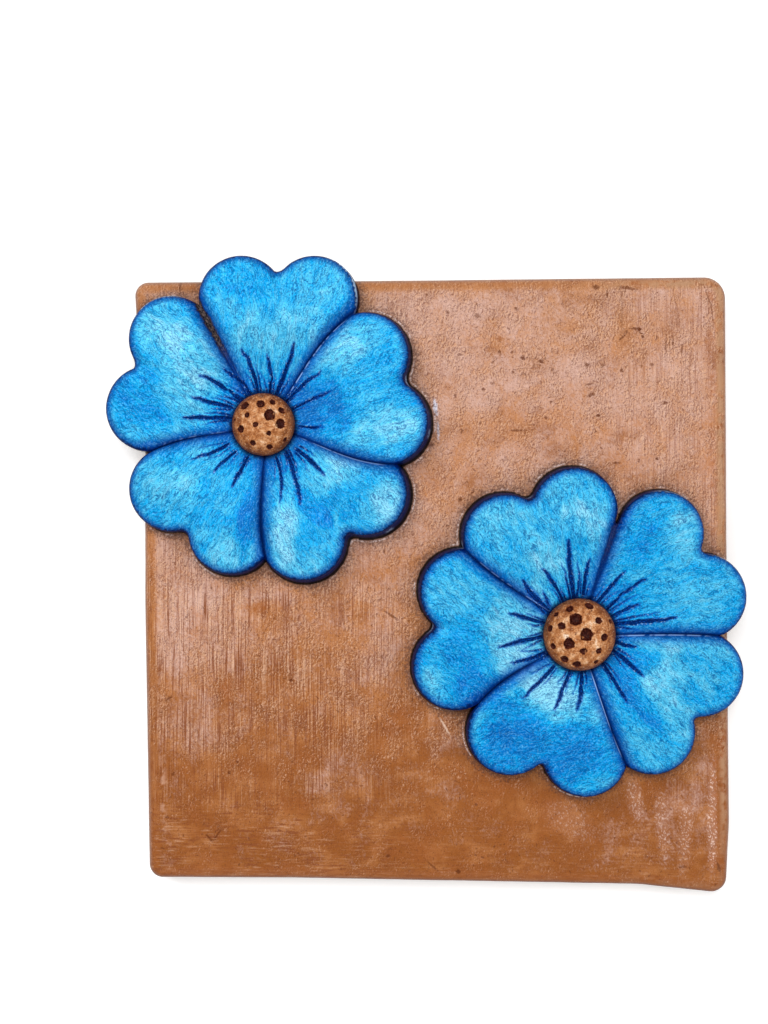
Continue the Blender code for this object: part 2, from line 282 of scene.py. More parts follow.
FLOWERS = {
    "upper_left": {
        "petals": (
            ((1, 41.5), (34, 42.0)),
            ((68, 45.0), (100, 43.0)),
            ((137, 42.5), (172, 40.0)),
            ((215, 39.0), (253, 39.0)),
            ((289, 41.0), (326, 41.5)),
        ),
        # The side wall leans out most towards this bearing: bearing, least and most lean.
        "lean": (-30, 0.3, 1.5),
        # Where the wall carries a painted varnish glint: bearing, half width of the glint, and
        # strength.
        "glints": ((17, 3.0, 0.9), (-3, 2.0, 0.4), (-40, 2.0, 0.4)),
        # Where a painted highlight runs along the rim's upper edge: the same.
        "lit_rims": ((60, 12.0, 0.8), (133, 12.0, 0.7)),
        # For the seam before each petal: how far it bows sideways, half the width of its floor,
        # how much bare clay that floor shows, and how bright its painted glint of varnish is.
        "seams": (
            (-4, 0.0, 0.0, 0.6),
            (4, 0.0, 0.0, 0.8),
            (0, 0.55, 1.0, 0.1),
            (-3, 0.0, 0.0, 0.5),
            (-3, 0.15, 0.0, 0.0),
        ),
        # For each petal: how high it sits over the mean, then which way its brush marks run
        # and how much they fan out.
        "lifts": (0.20, 0.10, -0.10, -0.20, -0.15),
        "grain": ((25, 0.7), (85, 0.9), (139, 0.2), (238, 0.9), (300, 0.9)),
        # Washes of paint: X and Y of the middle, half length, half width, bearing of the
        # length, and tone from -1, deep azure, to 1, pale sky.
        "washes": (
            (9.5, 23.5, 9, 6, 0, 0.45),
            (-3.0, 23.5, 6, 6, 0, 0.40),
            (-5.5, 36.0, 8, 5, 0, -0.15),
            (14.5, 33.5, 7, 6, 0, 0.15),
            (22.0, 18.5, 9, 4, 35, 0.60),
            (28.0, 12.0, 8, 4, 20, -0.12),
            (32.0, 0.0, 9, 5, 5, 0.65),
            (16.0, 5.0, 7, 7, 0, -0.65),
            (21.0, -7.6, 9, 2, 170, 0.45),
            (6.0, -26.5, 9, 3, 90, 0.85),
            (20.0, -19.0, 9, 4, 40, -0.35),
            (31.0, -19.5, 6, 4, 90, 0.85),
            (9.5, -35.0, 5, 4, 0, 0.35),
            (15.0, -11.5, 5, 4, 0, 0.40),
            (21.0, -10.5, 5, 4, 0, 0.40),
            (-24.0, -16.5, 8, 7, 0, 0.35),
            (-15.5, -9.0, 6, 4, 30, 0.15),
            (-12.0, -19.0, 8, 4, 60, -0.05),
            (-9.0, -33.0, 6, 6, 0, 0.35),
            (-3.8, -24.0, 9, 2.4, 84, -0.50),
            (-25.5, 23.5, 8, 6, 0, 0.40),
            (-18.0, 17.0, 9, 8, 135, 0.50),
            (-19.0, 8.5, 7, 7, 0, 0.45),
            (-30.5, 4.5, 8, 7, 0, -0.50),
            (-29.5, 15.0, 5, 4, 90, -0.15),
        ),
        # The same, with a crisp edge, then how much deeper the paint is round the centre.
        "crisp_washes": (
            (15.0, 4.5, 6.0, 8.0, 20, -0.35),
            (-3.8, -25.0, 11, 2.0, 84, -0.30),
            (29.0, 12.0, 8, 2.6, 15, -0.12),
            (13.0, -21.0, 6.5, 2.6, -50, -0.45),
        ),
        "shade": 0.95,
        # A vein: bearing and distance where it starts, then where it ends, and its width.
        "veins": (
            (100, 8.4, 106, 19.5, 0.9),
            (79, 8.2, 87, 17.5, 0.8),
            (67, 8.4, 69, 22.0, 0.9),
            (45, 8.4, 42, 19.5, 0.9),
            (28, 8.4, 26, 19.0, 0.8),
            (357, 9.0, 358, 15.0, 0.7),
            (323, 10.5, 320, 20.0, 0.9),
            (309, 9.0, 295, 22.0, 1.0),
            (291, 9.0, 282, 20.0, 0.7),
            (244, 9.2, 243, 17.5, 0.9),
            (224, 9.8, 224, 17.5, 0.7),
            (209, 10.2, 205, 20.0, 0.7),
            (114, 8.4, 126, 17.0, 0.9),
            (133, 8.4, 142, 20.0, 1.0),
            (152, 9.2, 159, 19.0, 0.9),
            (169, 8.8, 175, 20.0, 1.0),
        ),
        "pits": (
            (-0.56, 0.57, 2.3),
            (-0.04, 0.63, 2.1),
            (0.33, 0.69, 1.5),
            (0.62, 0.42, 1.7),
            (0.25, 0.27, 2.8),
            (-0.47, 0.26, 1.3),
            (-0.88, 0.13, 0.9),
            (0.59, -0.01, 2.5),
            (-0.20, -0.04, 1.3),
            (-0.67, -0.18, 1.9),
            (0.23, -0.32, 1.2),
            (-0.29, -0.61, 1.5),
            (0.24, -0.74, 1.6),
            (0.72, -0.50, 1.2),
        ),
    },
    "lower_right": {
        "petals": (
            ((17, 43.5), (51, 43.5)),
            ((92, 42.0), (127, 41.5)),
            ((160, 42.0), (195, 43.0)),
            ((235, 41.0), (273, 41.0)),
            ((307, 41.5), (342, 43.0)),
        ),
        "lean": (135, 0.25, 0.8),
        "glints": ((178, 3.0, 0.5), (110, 2.5, 0.4), (143, 2.0, 0.5)),
        "lit_rims": ((22, 12.0, 0.5), (57, 8.0, 0.4)),
        "seams": (
            (1, 0.0, 0.0, 0.8),
            (0, 0.40, 0.3, 0.0),
            (2, 0.0, 0.0, 0.5),
            (-4, 0.15, 0.0, 0.0),
            (-1, 0.0, 0.0, 1.0),
        ),
        "lifts": (0.25, 0.20, 0.0, -0.20, -0.15),
        "grain": ((12, 0.3), (112, 0.8), (142, 0.1), (188, 0.1), (317, 0.5)),
        "washes": (
            (-15.0, 0.0, 8, 11, 0, 0.45),
            (-31.0, 11.0, 8, 6, 0, 0.15),
            (-28.0, -6.0, 7, 9, 0, -0.38),
            (-37.5, -11.0, 7, 3, 90, 0.25),
            (-25.0, -14.0, 7, 5, 0, -0.50),
            (-20.0, 29.0, 8, 6, 0, 0.40),
            (-21.0, 21.0, 8, 4, 140, 0.0),
            (-8.5, 19.0, 6, 5, 90, 0.60),
            (-2.0, 36.0, 7, 6, 0, 0.25),
            (-1.0, 28.0, 7, 5, 0, 0.45),
            (5.0, 24.0, 8, 4, 90, 0.35),
            (18.0, 31.0, 5, 5, 0, 0.15),
            (14.5, 23.5, 9, 4, 60, -0.45),
            (26.5, 26.0, 8, 4, 90, 0.45),
            (30.0, 11.5, 8, 6, 0, 0.20),
            (10.0, 7.0, 7, 5, 40, -0.55),
            (15.0, -5.5, 7, 4, 0, -0.45),
            (21.0, -11.0, 9, 5, 60, 0.60),
            (35.0, -4.0, 6, 4, 0, 0.40),
            (15.0, -17.0, 11, 3, 125, -0.50),
            (25.5, -21.0, 6, 4, 90, 0.50),
            (18.0, -3.0, 10, 2, 0, 0.50),
            (-5.0, -16.0, 7, 6, 0, 0.75),
            (-8.5, -14.0, 5, 5, 0, 0.45),
            (-15.0, -21.0, 7, 6, 0, -0.45),
            (-8.0, -29.5, 19, 8, 0, -0.62),
            (-20.0, -26.5, 6, 5, 0, -0.25),
            (3.0, -36.0, 7, 5, 0, -0.15),
            (6.0, -36.0, 3, 2, 0, 0.45),
            (5.0, -21.0, 8, 2.5, 110, 0.25),
        ),
        "crisp_washes": (
            (-13.0, 0.5, 10.5, 14.0, 0, 0.35),
            (-3.0, -30.0, 13.0, 8.0, 0, -0.12),
            (14.0, -15.0, 11, 2.4, 125, -0.30),
        ),
        "shade": 0.40,
        "veins": (
            (98, 9.2, 97, 24.0, 1.1),
            (116, 9.6, 119, 19.0, 0.9),
            (84, 10.2, 83, 19.0, 0.9),
            (142, 10.4, 137, 19.5, 1.3),
            (60, 9.6, 55, 19.5, 0.8),
            (42, 9.8, 40, 21.8, 0.9),
            (29, 9.8, 27, 17.0, 0.8),
            (16, 9.6, 10, 24.5, 1.0),
            (349, 9.4, 348, 14.5, 0.9),
            (334, 9.8, 327, 19.0, 1.0),
            (309, 9.6, 305, 20.7, 0.9),
            (273, 9.8, 268, 19.0, 0.9),
            (256, 9.8, 251, 19.8, 0.9),
            (232, 10.4, 228, 21.4, 0.8),
            (162, 9.7, 163, 18.5, 0.9),
            (184, 9.7, 189, 20.5, 0.9),
            (208, 10.0, 202, 18.6, 0.8),
        ),
        "pits": (
            (-0.33, 0.74, 1.9),
            (0.22, 0.82, 2.1),
            (-0.18, 0.47, 3.1),
            (0.45, 0.43, 1.8),
            (0.80, 0.39, 1.2),
            (-0.68, 0.58, 1.3),
            (-0.56, 0.28, 1.9),
            (-0.85, 0.21, 1.6),
            (0.11, 0.05, 3.2),
            (0.61, -0.03, 1.9),
            (-0.37, -0.20, 2.8),
            (-0.78, -0.29, 1.6),
            (0.03, -0.41, 1.8),
            (0.46, -0.41, 1.5),
            (-0.47, -0.63, 1.9),
            (-0.13, -0.78, 2.0),
            (0.41, -0.72, 1.3),
        ),
    },
}

# Centres: an ellipse's section made fuller by a power below 1, a little lumpy and out of round.
CENTRE_SIDES = 240
CENTRE_RINGS = 84
CENTRE_FULLNESS = 0.85
CENTRE_LUMP = 0.16
CENTRE_SHRINK = 0.04
CENTRE_UNROUND = 0.25
CENTRE_UNDERSIDE = 0.6
# Pits: their depth as a part of their width, how ragged they are, and how far below the dome's
# surface their middles lie.
PIT_DEPTH = 0.42
PIT_RAGGEDNESS = 0.60
PIT_SINK = 0.1

# The sections of a pressed vein and a pit: distance from the middle, as a part of the whole width,
# and depth. The last depth is the level of the face beside it.
VEIN_SECTION = ((0.0, 1.0), (0.25, 0.72), (0.5, 0.16), (0.68, 0.0), (0.85, 0.08), (1.0, 0.12))
PIT_SECTION = ((0.0, 1.0), (0.28, 0.86), (0.42, 0.46), (0.53, 0.05), (0.62, 0.0), (1.0, 0.10))

# Finishes: how strongly each mirrors the lights, and the depth of its finest relief.
PAINT_SHINE = 0.03
STAIN_SHINE = 0.11
CLAY_SHINE = 0.08
PAINT_RELIEF = 0.13
STAIN_RELIEF = 0.16
CLAY_RELIEF = 0.12

# How far the painted shadow of a brush mark falls from it, and the sizes of the finest marks.
EMBOSS_SHIFT = (0.17, -0.17, 0.0)
LEATHER = (0.54, 1.35, 1.0)
CRINKLE = (0.50, 0.80, 0.7)

# Picture: the camera looks straight down, above the point that its picture's middle shows. A
# pixel covers this much of the slab's face.
CAMERA_OVER = (-13.5, 17.8)
CAMERA_HEIGHT = 350.0
PIXEL = 0.255
PICTURE_LONG_SIDE = 1024
SENSOR = 36.0

# Studio, in metres and watts: the floor, which glows a little so that it shows white, the light
# from all round, and the soft lights, each with its place, the side of its square and its power.
FLOOR_SIDE = 6.0
FLOOR_DROP = 0.0002
FLOOR_GLOW = 0.18
ROOM_LIGHT = 0.32
SOFT_LIGHTS = (
    ("overhead", (-0.05, 0.30, 0.95), 0.36, 3.6),
    ("key", (-0.60, 0.60, 0.80), 0.5, 5.8),
    ("right", (0.85, 0.0, 0.70), 0.6, 3.5),
    ("low", (-0.1, -0.85, 0.75), 0.7, 3.4),
)
WHITE = (1.0, 1.0, 1.0, 1.0)


# Helpers

def lattice_noise(x, y, seed):
    """Give smooth noise from -1 to 1 with lumps about 1 unit wide, for arrays of places."""
    lattice = np.random.default_rng(seed).uniform(-1, 1, (LATTICE, LATTICE))
    left = np.floor(x).astype(int)
    low = np.floor(y).astype(int)
    across = x - left
    up = y - low
    across = across * across * (3 - 2 * across)
    up = up * up * (3 - 2 * up)

    def corner(right, above):
        return lattice[(left + right) % LATTICE, (low + above) % LATTICE]

    below = corner(0, 0) * (1 - across) + corner(1, 0) * across
    above = corner(0, 1) * (1 - across) + corner(1, 1) * across
    return below * (1 - up) + above * up


def lumps(x, y, size, seed):
    """Give noise with lumps of a size in mm, turned off the axes, and a finer second layer."""
    turned_x = (0.8 * x - 0.6 * y) / size
    turned_y = (0.6 * x + 0.8 * y) / size
    fine = lattice_noise(2.3 * turned_x + 31.7, 2.3 * turned_y + 11.3, seed + 1)
    return 0.7 * lattice_noise(turned_x, turned_y, seed) + 0.3 * fine


def smooth_step(value, low, high):
    """Rise smoothly from 0 at low to 1 at high."""
    part = np.clip((value - low) / (high - low), 0.0, 1.0)
    return part * part * (3 - 2 * part)


def pillow(distance, width, depth):
    """Give the drop of a rounded edge: its whole depth at distance 0, none past its width."""
    part = 1 - np.clip(distance / width, 0.0, 1.0)
    return depth * (1 - np.sqrt(1 - part * part))


def wash_tone(x, y, washes, seed, edge=SOFT_EDGE):
    """Add up washes, each an ellipse that fades out between two parts of its size."""
    tone = np.zeros(x.shape)
    wander = WASH_WANDER * lumps(x, y, WASH_LUMPS, seed)
    for middle_x, middle_y, length, width, bearing, strength in washes:
        turn = math.radians(bearing)
        across = (x - middle_x) * math.cos(turn) + (y - middle_y) * math.sin(turn)
        up = (y - middle_y) * math.cos(turn) - (x - middle_x) * math.sin(turn)
        away = np.hypot(across / length, up / width) + wander
        tone += strength * (1 - smooth_step(away, *edge))
    return tone


def distance_to_line(x, y, line):
    """Give the distance from places to the nearest of a line's points."""
    flat_x = x.ravel()
    flat_y = y.ravel()
    nearest = np.empty(flat_x.size)
    for start in range(0, flat_x.size, BATCH):
        part = slice(start, start + BATCH)
        across = flat_x[part, None] - line[None, :, 0]
        up = flat_y[part, None] - line[None, :, 1]
        nearest[part] = np.sqrt((across * across + up * up).min(axis=1))
    return nearest.reshape(x.shape)


def mesh_object(name, places, faces):
    """Make a smooth-shaded object from places in mm and faces."""
    mesh = bpy.data.meshes.new(name)
    mesh.from_pydata((places * MM).tolist(), [], faces)
    mesh.shade_smooth()
    obj = bpy.data.objects.new(name, mesh)
    bpy.context.scene.collection.objects.link(obj)
    return obj


def give_value(obj, name, values):
    """Store one number for each vertex."""
    layer = obj.data.attributes.new(name, "FLOAT", "POINT")
    layer.data.foreach_set("value", np.ascontiguousarray(values.ravel(), np.float32))


def give_vector(obj, name, values):
    """Store one vector for each vertex."""
    layer = obj.data.attributes.new(name, "FLOAT_VECTOR", "POINT")
    layer.data.foreach_set("vector", np.ascontiguousarray(values.ravel(), np.float32))


def keep_in_box(places, node):
    """Hold places inside the box of their CAD node."""
    low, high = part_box(node)
    return np.clip(places, np.array(low) / MM, np.array(high) / MM)


def ring_body(name, rings, poles, node):
    """Join rings into one closed body with a pole at each end, held inside its node's box.

    Ring 0 is the innermost of the upper side, and the last ring is the innermost below.
    """
    count, sides = rings.shape[:2]
    places = keep_in_box(np.concatenate([rings.reshape(-1, 3), poles]), node)
    upper = count * sides
    last = upper - sides
    faces = []
    for inner in range(0, last, sides):
        outer = inner + sides
        for side in range(sides):
            after = (side + 1) % sides
            faces.append((inner + side, outer + side, outer + after, inner + after))
    for side in range(sides):
        after = (side + 1) % sides
        faces.append((upper, side, after))
        faces.append((upper + 1, last + after, last + side))
    return mesh_object(name, places, faces), places


class Graph:
    """Short ways to add nodes to a tree and to join them."""

    def __init__(self, tree):
        self.tree = tree

    def feed(self, socket, value):
        """Join a node or socket to an input, or set the input to a constant."""
        if isinstance(value, bpy.types.Node):
            value = value.outputs[0]
        if isinstance(value, bpy.types.NodeSocket):
            self.tree.links.new(value, socket)
        else:
            socket.default_value = value

    def add(self, kind, inputs=(), **settings):
        """Add a node, choose its settings and feed its inputs, by name or number."""
        node = self.tree.nodes.new(kind)
        for name, value in settings.items():
            setattr(node, name, value)
        for key, value in dict(inputs).items():
            self.feed(node.inputs[key], value)
        return node

    def math(self, operation, first, second=0.0, clamp=False):
        """Work out one number from two."""
        return self.add("ShaderNodeMath", {0: first, 1: second}, operation=operation, use_clamp=clamp)

    def vector(self, operation, first, second=(0.0, 0.0, 0.0)):
        """Work out one vector from two."""
        return self.add("ShaderNodeVectorMath", {0: first, 1: second}, operation=operation)

    def scaled(self, vector, factor):
        """Stretch a vector by one number."""
        return self.add("ShaderNodeVectorMath", {0: vector, "Scale": factor}, operation="SCALE")

    def fade(self, value, low, high, start=0.0, end=1.0):
        """Go smoothly from start to end as a value goes from low to high."""
        inputs = {"Value": value, "From Min": low, "From Max": high, "To Min": start, "To Max": end}
        return self.add("ShaderNodeMapRange", inputs, interpolation_type="SMOOTHSTEP")

    def noise(self, place, size, detail=2.0, roughness=0.5, distortion=0.0):
        """Add noise with lumps of a size in mm; a tuple gives a size for each axis."""
        sizes = size if isinstance(size, tuple) else (size, size, size)
        scaled = self.vector("DIVIDE", place, sizes)
        inputs = {
            "Vector": scaled,
            "Scale": 1.0,
            "Detail": detail,
            "Roughness": roughness,
            "Distortion": distortion,
        }
        return self.add("ShaderNodeTexNoise", inputs)

    def tint(self, amount, colour, other):
        """Mix two colours."""
        inputs = {0: amount, 6: colour, 7: other}
        return self.add("ShaderNodeMix", inputs, data_type="RGBA").outputs[2]

    def layers(self, colour, *rows):
        """Lay tints over a colour, each fading from start to end as its value goes low to high."""
        for value, low, high, start, end, tone in rows:
            colour = self.tint(self.fade(value, low, high, start, end), colour, tone)
        return colour

    def product(self, *values):
        """Multiply numbers."""
        result = values[0]
        for value in values[1:]:
            result = self.math("MULTIPLY", result, value)
        return result

    def total(self, *values):
        """Add numbers up."""
        result = values[0]
        for value in values[1:]:
            result = self.math("ADD", result, value)
        return result

    def ramp(self, value, stops):
        """Turn a number into a colour by a row of stops."""
        node = self.add("ShaderNodeValToRGB", {0: value})
        elements = node.color_ramp.elements
        while len(elements) < len(stops):
            elements.new(0.5)
        for element, (position, colour) in zip(elements, stops):
            element.position = position
            element.color = colour
        return node.outputs[0]

    def spread(self, value, width):
        """Centre a noise on 0 and stretch it."""
        return self.math("MULTIPLY", self.math("SUBTRACT", value, 0.5), width)

    def ridge(self, value, width):
        """Give thin lines where a noise crosses its middle."""
        return self.fade(self.math("ABSOLUTE", self.spread(value, 1.0)), 0.0, width, 1.0, 0.0)

    def band(self, value, low, high):
        """Give a soft band that is full midway between two values."""
        middle = (low + high) / 2
        away = self.math("ABSOLUTE", self.math("SUBTRACT", value, middle))
        return self.fade(away, 0.0, high - middle, 1.0, 0.0)

    def blend(self, amount, value, other):
        """Mix two numbers."""
        return self.add("ShaderNodeMix", {0: amount, 2: value, 3: other}, data_type="FLOAT").outputs[0]

    def emboss(self, colour, relief, dark, pale, strength=1.0):
        """Paint shade on the far side of each brush mark and a highlight on its near side."""
        return self.layers(
            colour,
            (relief, 0.015, 0.13, 0.0, 0.75 * strength, dark),
            (relief, -0.015, -0.13, 0.0, 0.55 * strength, pale),
        )

    def attribute(self, name, output="Fac"):
        """Read a number or a vector that the mesh carries."""
        return self.add("ShaderNodeAttribute", attribute_name=name).outputs[output]


def rgb(red, green, blue):
    """Turn a colour of the usual 0 to 255 scale into the light values that shaders take."""
    def linear(level):
        level = level / 255
        return level / 12.92 if level < 0.04045 else ((level + 0.055) / 1.055) ** 2.4

    return (linear(red), linear(green), linear(blue), 1.0)


# Slab

def slab_outline(count):
    """Give the slab's outline, clockwise, as evenly spaced points."""
    points = []
    for index, (x, y, radius) in enumerate(SLAB_CORNERS):
        before = Vector(SLAB_CORNERS[index - 1][:2])
        corner = Vector((x, y))
        after = Vector(SLAB_CORNERS[(index + 1) % len(SLAB_CORNERS)][:2])
        arm_in = (before - corner).normalized()
        arm_out = (after - corner).normalized()
        turn = math.pi - arm_in.angle(arm_out)
        reach = radius * math.tan(turn / 2)
        start = corner + arm_in * reach
        end = corner + arm_out * reach
        middle = corner + (arm_in + arm_out).normalized() * (radius / math.cos(turn / 2))
        for step in range(13):
            spoke = start.lerp(end, step / 12) - middle
            points.append(middle + spoke.normalized() * radius)
    loop = np.array([tuple(p) for p in points + points[:1]])
    steps = np.hypot(*np.diff(loop, axis=0).T)
    along = np.concatenate([[0.0], np.cumsum(steps)])
    wanted = np.arange(count) * along[-1] / count
    return np.stack([np.interp(wanted, along, loop[:, axis]) for axis in (0, 1)], axis=1)


def outward(loop):
    """Give the outward direction at each point of a clockwise loop."""
    ahead = np.roll(loop, -3, axis=0) - np.roll(loop, 3, axis=0)
    side = np.stack([-ahead[:, 1], ahead[:, 0]], axis=1)
    return side / np.hypot(side[:, 0], side[:, 1])[:, None]


def patch_inside(loop, cells):
    """Fill a loop of four equal sides with a grid that follows all four."""
    corners = [side * cells for side in range(5)]
    closed = np.concatenate([loop, loop[:1]])
    left, top, right, bottom = (closed[a:b + 1] for a, b in zip(corners, corners[1:]))
    part = np.linspace(0, 1, cells + 1)
    u = part[None, :, None]
    v = part[:, None, None]
    across = left[:, None] * (1 - u) + right[::-1][:, None] * u
    along = bottom[::-1][None] * (1 - v) + top[None] * v
    ends = (
        left[0] * (1 - u) * (1 - v)
        + left[-1] * (1 - u) * v
        + right[-1] * u * (1 - v)
        + right[0] * u * v
    )
    return across + along - ends


def slab_face_height(x, y, top):
    """Give the slab's face: flat, with the gentle swell and grain of rolled clay."""
    swell = SLAB_SWELL * lumps(x, y, 26.0, seed=5)
    grain = SLAB_GRAIN * lumps(x, y, 1.9, seed=9)
    return top + swell + grain


def make_slab():
    """Build the slab: a fine face, rounded edges, hand-cut side walls and a flat back."""
    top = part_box("slab")[1].z / MM
    sides = 4 * SLAB_CELLS
    outline = slab_outline(sides)
    first = np.argmin(np.hypot(outline[:, 0] - LOWER_LEFT[0], outline[:, 1] - LOWER_LEFT[1]))
    outline = np.roll(outline, -first, axis=0)
    out = outward(outline)
    face = patch_inside(outline - out * EDGE_ROUND, SLAB_CELLS)
    grid = face.reshape(-1, 2)
    z = slab_face_height(grid[:, 0], grid[:, 1], top)
    places = [np.column_stack([grid, z])]
    inset = [distance_to_line(grid[:, 0], grid[:, 1], outline)]
    depth = [np.zeros(len(grid))]

    def ring(inward, height, below):
        loop = outline - out * inward[:, None]
        places.append(np.column_stack([loop, height]))
        inset.append(np.maximum(inward, 0.0))
        depth.append(np.full(sides, below))

    edge_z = slab_face_height(*(outline - out * EDGE_ROUND).T, top)
    waver = EDGE_WAVER * lumps(outline[:, 0], outline[:, 1], 7.0, seed=21)
    for step in range(1, EDGE_RINGS + 1):
        turn = math.pi / 2 * step / EDGE_RINGS
        inward = np.full(sides, EDGE_ROUND * (1 - math.sin(turn)))
        ring(inward, edge_z - EDGE_ROUND * (1 - math.cos(turn)) + waver * math.sin(turn), 0.0)
    wall_top = top - EDGE_ROUND
    for step in range(1, WALL_RINGS + 1):
        part = step / WALL_RINGS
        height = wall_top + (BACK_ROUND - wall_top) * part
        uneven = np.abs(lumps(outline[:, 0] + 40 * part, outline[:, 1], 9.0, seed=33))
        ring(WALL_DENT * uneven * math.sin(math.pi * part), np.full(sides, height), part)
    for turn in (math.pi / 4, math.pi / 2):
        inward = np.full(sides, BACK_ROUND * (1 - math.cos(turn)))
        ring(inward, np.full(sides, BACK_ROUND * (1 - math.sin(turn))), 1.0)
    return finish_slab(np.concatenate(places), np.concatenate(inset), np.concatenate(depth))


def finish_slab(places, inset, depth):
    """Join the slab's face, edge rings and back into one closed mesh."""
    cells = SLAB_CELLS
    row = cells + 1
    faces = []
    for v in range(cells):
        for u in range(cells):
            corner = v * row + u
            faces.append((corner, corner + 1, corner + row + 1, corner + row))
    loop = [v * row for v in range(cells)]
    loop += [cells * row + u for u in range(cells)]
    loop += [v * row + cells for v in range(cells, 0, -1)]
    loop += [u for u in range(cells, 0, -1)]
    sides = 4 * cells
    first_ring = row * row
    rings = (len(places) - first_ring) // sides
    for side in range(sides):
        after = (side + 1) % sides
        faces.append((loop[side], loop[after], first_ring + after, first_ring + side))
    for ring in range(rings - 1):
        start = first_ring + ring * sides
        for side in range(sides):
            after = (side + 1) % sides
            faces.append((start + side, start + after, start + sides + after, start + sides + side))
    last = first_ring + (rings - 1) * sides
    faces.append(tuple(last + side for side in range(sides)))
    slab = mesh_object("slab_body", places, faces)
    give_value(slab, "inset", inset)
    give_value(slab, "depth", depth)
    near = np.minimum(*(outside_flower(spec, name, places) for name, spec in FLOWERS.items()))
    give_value(slab, "from_flower", near)
    x, y = places[:, 0], places[:, 1]
    give_value(slab, "haze_and_sheen", wash_tone(x, y, SLAB_TONE_PATCHES, seed=81))
    give_value(slab, "sparkle", wash_tone(x, y, SLAB_SPARKLE, seed=83))
    mark, strength, tone = nearest_mark(x, y)
    give_vector(slab, "mark", mark)
    give_value(slab, "mark_strength", strength)
    give_value(slab, "mark_tone", tone)
    return slab


def nearest_mark(x, y):
    """Give each place's nearest small mark: the place in that mark's own axes, with the distance.

    Half the mark's length and half its width are 1 along its own axes, so a shader can draw the
    mark far finer than the mesh. The distance tells where two marks' areas meet.
    """
    marks = np.array([(*mark, tone) for tone, group in SLAB_MARKS.items() for mark in group])
    own = []
    for middle_x, middle_y, length, width, bearing, *_ in marks:
        turn = math.radians(bearing)
        along = (x - middle_x) * math.cos(turn) + (y - middle_y) * math.sin(turn)
        aside = (y - middle_y) * math.cos(turn) - (x - middle_x) * math.sin(turn)
        past_end = np.maximum(np.abs(along) - length, 0.0)
        past_side = np.maximum(np.abs(aside) - width, 0.0)
        own.append(np.stack([along / length, aside / width, np.hypot(past_end, past_side)], axis=1))
    own = np.array(own)
    index = np.argmin(own[:, :, 2], axis=0)
    chosen = own[index, np.arange(len(x))]
    return chosen, marks[index, 5], marks[index, 6]


def outside_flower(spec, name, places):
    """Give how far places lie outside the foot of a flower; a minus is under the flower."""
    x, y, *_ = middle_of(name)
    foot = flower_outline(spec, name, 1.0)
    away = distance_to_line(places[:, 0], places[:, 1], foot)
    bearings = np.degrees(np.arctan2(places[:, 1] - y, places[:, 0] - x))
    edge = flower_edge(bearings, spec["petals"]) + wall_lean(spec, bearings)
    inside = np.hypot(places[:, 0] - x, places[:, 1] - y) < edge
    return np.where(inside, -away, away)


# Flowers

def lobe_edge(bearings, lobe):
    """Give how far a lobe reaches along each bearing, or 0 where the bearing misses it."""
    turn = np.radians(bearings - lobe[0])
    stem = lobe[1] - LOBE_RADIUS
    room = LOBE_RADIUS ** 2 - (stem * np.sin(turn)) ** 2
    reach = stem * np.cos(turn) + np.sqrt(np.maximum(room, 0.0))
    return np.where((room > 0) & (np.cos(turn) > 0), reach, 0.0)


def flower_edge(bearings, petals):
    """Give the flower's outline along each bearing: its lobes, blended inside each heart."""
    edge = np.full(bearings.shape, LEAST_REACH)
    for petal in petals:
        first, second = (lobe_edge(bearings, lobe) for lobe in petal)
        blend = np.maximum(HEART_SOFTNESS - np.abs(first - second), 0.0)
        edge = np.maximum(edge, np.maximum(first, second) + blend ** 2 / (4 * HEART_SOFTNESS))
    return edge


def seam_bearings(petals):
    """Give the bearing of the seam before each petal, midway between the two lobes there."""
    seams = []
    for index, petal in enumerate(petals):
        gap = (petal[0][0] - petals[index - 1][1][0]) % 360
        seams.append(petal[0][0] - gap / 2)
    return seams


def petal_ends(petals):
    """Give the bearings of the seams again, with the first one once more after a whole turn."""
    seams = seam_bearings(petals)
    return seams + [seams[0] + 360]


def flower_bearings(petals):
    """Spread bearings inside each petal, closer together at its two seams."""
    seams = petal_ends(petals)
    part = np.arange(BEARINGS_PER_PETAL) / BEARINGS_PER_PETAL
    eased = part - 0.5 * np.sin(2 * math.pi * part) / (2 * math.pi)
    return np.concatenate([a + (b - a) * eased for a, b in zip(seams, seams[1:])])


def middle_of(name):
    """Give the middle, radius, foot and height of a flower's centre, in mm."""
    low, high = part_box("centre_" + name)
    middle = (low + high) / 2 / MM
    return middle.x, middle.y, (high.x - low.x) / 2 / MM, low.z / MM, (high.z - low.z) / MM


def wall_lean(spec, bearings):
    """Give how far out the foot of the side wall stands along each bearing."""
    towards, least, most = spec["lean"]
    facing = (1 + np.cos(np.radians(bearings - towards))) / 2
    return least + (most - least) * facing ** LEAN_FOCUS


def flower_outline(spec, name, down):
    """Give the places of the flower's outline, from 0, its rim, to 1, the foot of its wall."""
    x, y, *_ = middle_of(name)
    bearings = flower_bearings(spec["petals"])
    reach = flower_edge(bearings, spec["petals"]) + down * wall_lean(spec, bearings)
    turn = np.radians(bearings)
    return np.column_stack([x + reach * np.cos(turn), y + reach * np.sin(turn)])


def petal_spans(spec):
    """Give each bearing's petal number and its place from -1 to 1 across that petal."""
    seams = np.array(petal_ends(spec["petals"]))
    bearings = flower_bearings(spec["petals"])
    number = np.repeat(np.arange(len(spec["petals"])), BEARINGS_PER_PETAL)
    start = seams[number]
    end = seams[number + 1]
    return number, (bearings - (start + end) / 2) / ((end - start) / 2)


def seam_twist(spec, across, number, way_out):
    """Give how far places swing sideways so that the seams bow as the hand cut them."""
    bows = np.array([seam[0] for seam in spec["seams"] + spec["seams"][:1]], float)
    before = bows[number] * np.clip(-across, 0, 1)
    after = bows[number + 1] * np.clip(across, 0, 1)
    return (before + after)[None, :] * np.sin(math.pi * way_out)


